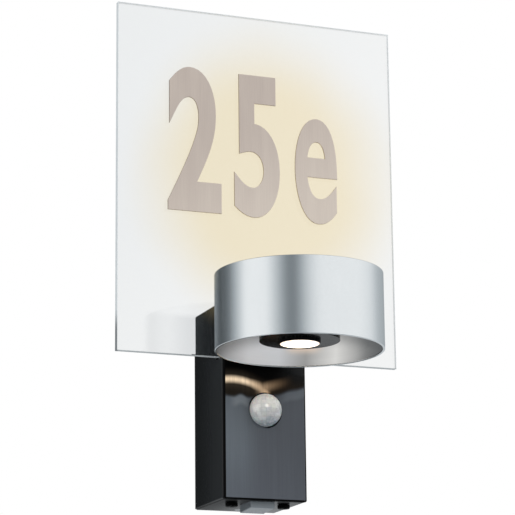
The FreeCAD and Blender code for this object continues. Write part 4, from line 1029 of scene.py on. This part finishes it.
def sink_cross(piece, middle, foot):
    """In edit mode, cut a cross into the screw's head and sink it, narrower towards its floor."""
    for way in (Vector((1, 0, 0)), Vector((0, 1, 0))):
        for cut in (-CROSS_REACH, -CROSS_HALF_WIDTH, CROSS_HALF_WIDTH, CROSS_REACH):
            select_faces(piece, faces_down)
            bpy.ops.mesh.bisect(plane_co=middle + way * cut, plane_no=way)

    def in_cross(centre, normal):
        offsets = (abs(centre.x - middle.x), abs(centre.y - middle.y))
        inside = max(offsets) < CROSS_REACH and min(offsets) < CROSS_HALF_WIDTH
        return inside and faces_down(centre, normal)

    select_faces(piece, in_cross)
    bpy.ops.mesh.extrude_region_move(TRANSFORM_OT_translate={"value": (0, 0, CROSS_DEPTH)})
    floor = (middle.x, middle.y, foot + CROSS_DEPTH)
    bpy.ops.transform.resize(value=(CROSS_TAPER, CROSS_TAPER, 1.0), center_override=floor)


def cross_head_screw():
    """The countersunk screw under the box, with a cross recess in its head."""
    low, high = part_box("lock_screw")
    middle = (low + high) / 2
    head_radius = (high.x - low.x) / 2
    sink = head_radius - SHANK_RADIUS
    bpy.ops.object.select_all(action="DESELECT")
    bpy.ops.mesh.primitive_cone_add(
        vertices=SCREW_SIDES,
        radius1=head_radius,
        radius2=SHANK_RADIUS,
        depth=sink,
        location=(middle.x, middle.y, low.z + sink / 2),
    )
    piece = bpy.context.object
    piece.name = "cross_head_screw"
    bpy.ops.object.transform_apply(location=True, rotation=True, scale=True)
    bpy.ops.object.mode_set(mode="EDIT")
    select_faces(piece, faces_up)
    shank = high.z - low.z - sink
    bpy.ops.mesh.extrude_region_move(TRANSFORM_OT_translate={"value": (0, 0, shank)})
    bpy.ops.mesh.bevel(offset=SHANK_TIP, segments=2)
    select_faces(piece, faces_down)
    bpy.ops.mesh.inset(thickness=SCREW_HEAD_EDGE)
    sink_cross(piece, middle, low.z)
    bpy.ops.object.mode_set(mode="OBJECT")
    bpy.ops.object.shade_smooth_by_angle(angle=SCREW_SMOOTHING)
    piece.data.materials.append(zinc_steel())
    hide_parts("lock_screw")
    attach(piece, "light")


def studio_camera():
    yaw, pitch, roll = CAMERA_YAW, CAMERA_PITCH, CAMERA_ROLL
    tilt = math.cos(pitch)
    forward = Vector((math.sin(yaw) * tilt, math.cos(yaw) * tilt, math.sin(pitch)))
    level = Vector((math.cos(yaw), -math.sin(yaw), 0.0))
    upward = level.cross(forward)
    right = level * math.cos(roll) + upward * math.sin(roll)
    up = upward * math.cos(roll) - level * math.sin(roll)
    bpy.ops.object.camera_add()
    camera = bpy.context.object
    camera.name = "photo_camera"
    turn = Matrix((right, up, -forward)).transposed().to_4x4()
    camera.matrix_world = Matrix.Translation(CAMERA_PLACE) @ turn
    camera.data.sensor_width = SENSOR_WIDTH
    camera.data.lens = FOCAL_PIXELS * SENSOR_WIDTH / PHOTO_WIDTH
    camera.data.clip_start = CLIP_NEAR
    camera.data.clip_end = CLIP_FAR
    bpy.context.scene.camera = camera


def softbox(name, place, power):
    bpy.ops.object.light_add(type="AREA", location=place)
    lamp = bpy.context.object
    lamp.name = name
    lamp.data.shape = "RECTANGLE"
    lamp.data.size = LAMP_SIZE
    lamp.data.size_y = LAMP_SIZE
    lamp.data.energy = power
    lamp.rotation_mode = "QUATERNION"
    lamp.rotation_quaternion = (Vector(LAMP_AIM) - Vector(place)).to_track_quat("-Z", "Y")
    lamp.visible_glossy = False
    lamp.visible_transmission = False


def studio_lamps():
    for name, place, power in STUDIO_LAMPS:
        softbox(name, place, power)


def studio_room():
    """White to the camera and through glass. Metal sees the room: boxes, gaps and the lit sweep."""
    world = bpy.data.worlds.new("studio_room")
    world.use_nodes = True
    bpy.context.scene.world = world
    nodes = Nodes(world.node_tree)
    x, y, z = nodes.axes(nodes.add("ShaderNodeTexCoord", output="Generated"))
    azimuth = nodes.math("ARCTAN2", x, 0.0 - y) * (FULL_TURN / (2.0 * math.pi))
    stops = [(angle / FULL_TURN + 0.5, grey(tone)) for angle, tone in ROOM_BY_AZIMUTH]
    walls = nodes.ramp(azimuth / FULL_TURN + 0.5, stops)
    behind = nodes.soft_step(y, *SWEEP_TURNS)
    sweep = behind * (SWEEP_BEHIND - SWEEP_IN_FRONT) + SWEEP_IN_FRONT
    below = 1.0 - nodes.soft_step(z, *SWEEP_ENDS)
    room = walls + (sweep - walls) * below

    def ray(name):
        return nodes.add("ShaderNodeLightPath", output=name)

    mirrored = nodes.above(ray("Glossy Depth"), 0.5)
    straight = nodes.larger(ray("Is Camera Ray"), ray("Is Transmission Ray")) * (1.0 - mirrored)
    mirrored = nodes.larger(mirrored, ray("Is Glossy Ray"))
    seen = straight + (1.0 - straight) * mirrored * room
    strength = seen + (1.0 - nodes.larger(straight, mirrored)) * ROOM_FILL
    colour = nodes.mix(nodes.clamp(strength), ROOM_TINT, grey(1.0))
    inputs = {"Color": colour, "Strength": strength}
    nodes.surface(nodes.add("ShaderNodeBackground", inputs=inputs), "ShaderNodeOutputWorld")


def studio_floor():
    """Pale floor below the light, open to a camera that looks from underneath."""
    bpy.ops.mesh.primitive_plane_add(size=FLOOR_REACH, location=(0, 0, FLOOR_HEIGHT))
    floor = bpy.context.object
    floor.name = "floor"
    material, nodes = new_finish("pale_floor")
    cloud = nodes.noise(scale=3.0)
    paint = nodes.principled(
        Base_Color=nodes.mix(cloud, grey(0.82), grey(0.86)),
        Roughness=nodes.between(cloud, 0.75, 0.85),
    )
    white = nodes.add("ShaderNodeEmission", inputs={"Color": grey(1.0), "Strength": 1.0})
    seen = nodes.add("ShaderNodeLightPath", output="Is Camera Ray")
    through_glass = nodes.add("ShaderNodeLightPath", output="Is Transmission Ray")
    pale = nodes.mix_shader(nodes.larger(seen, through_glass) * FLOOR_WHITE, paint, white)
    under = nodes.add("ShaderNodeNewGeometry", output="Backfacing")
    clear = nodes.add("ShaderNodeBsdfTransparent")
    nodes.surface(nodes.mix_shader(under, pale, clear))
    floor.data.materials.append(material)
    floor.visible_glossy = False


def set_view():
    bpy.context.scene.view_settings.view_transform = "Standard"


studio_camera()
give_finishes()
house_number()
sensor_lens()
cross_head_screw()
studio_floor()
studio_lamps()
studio_room()
set_view()
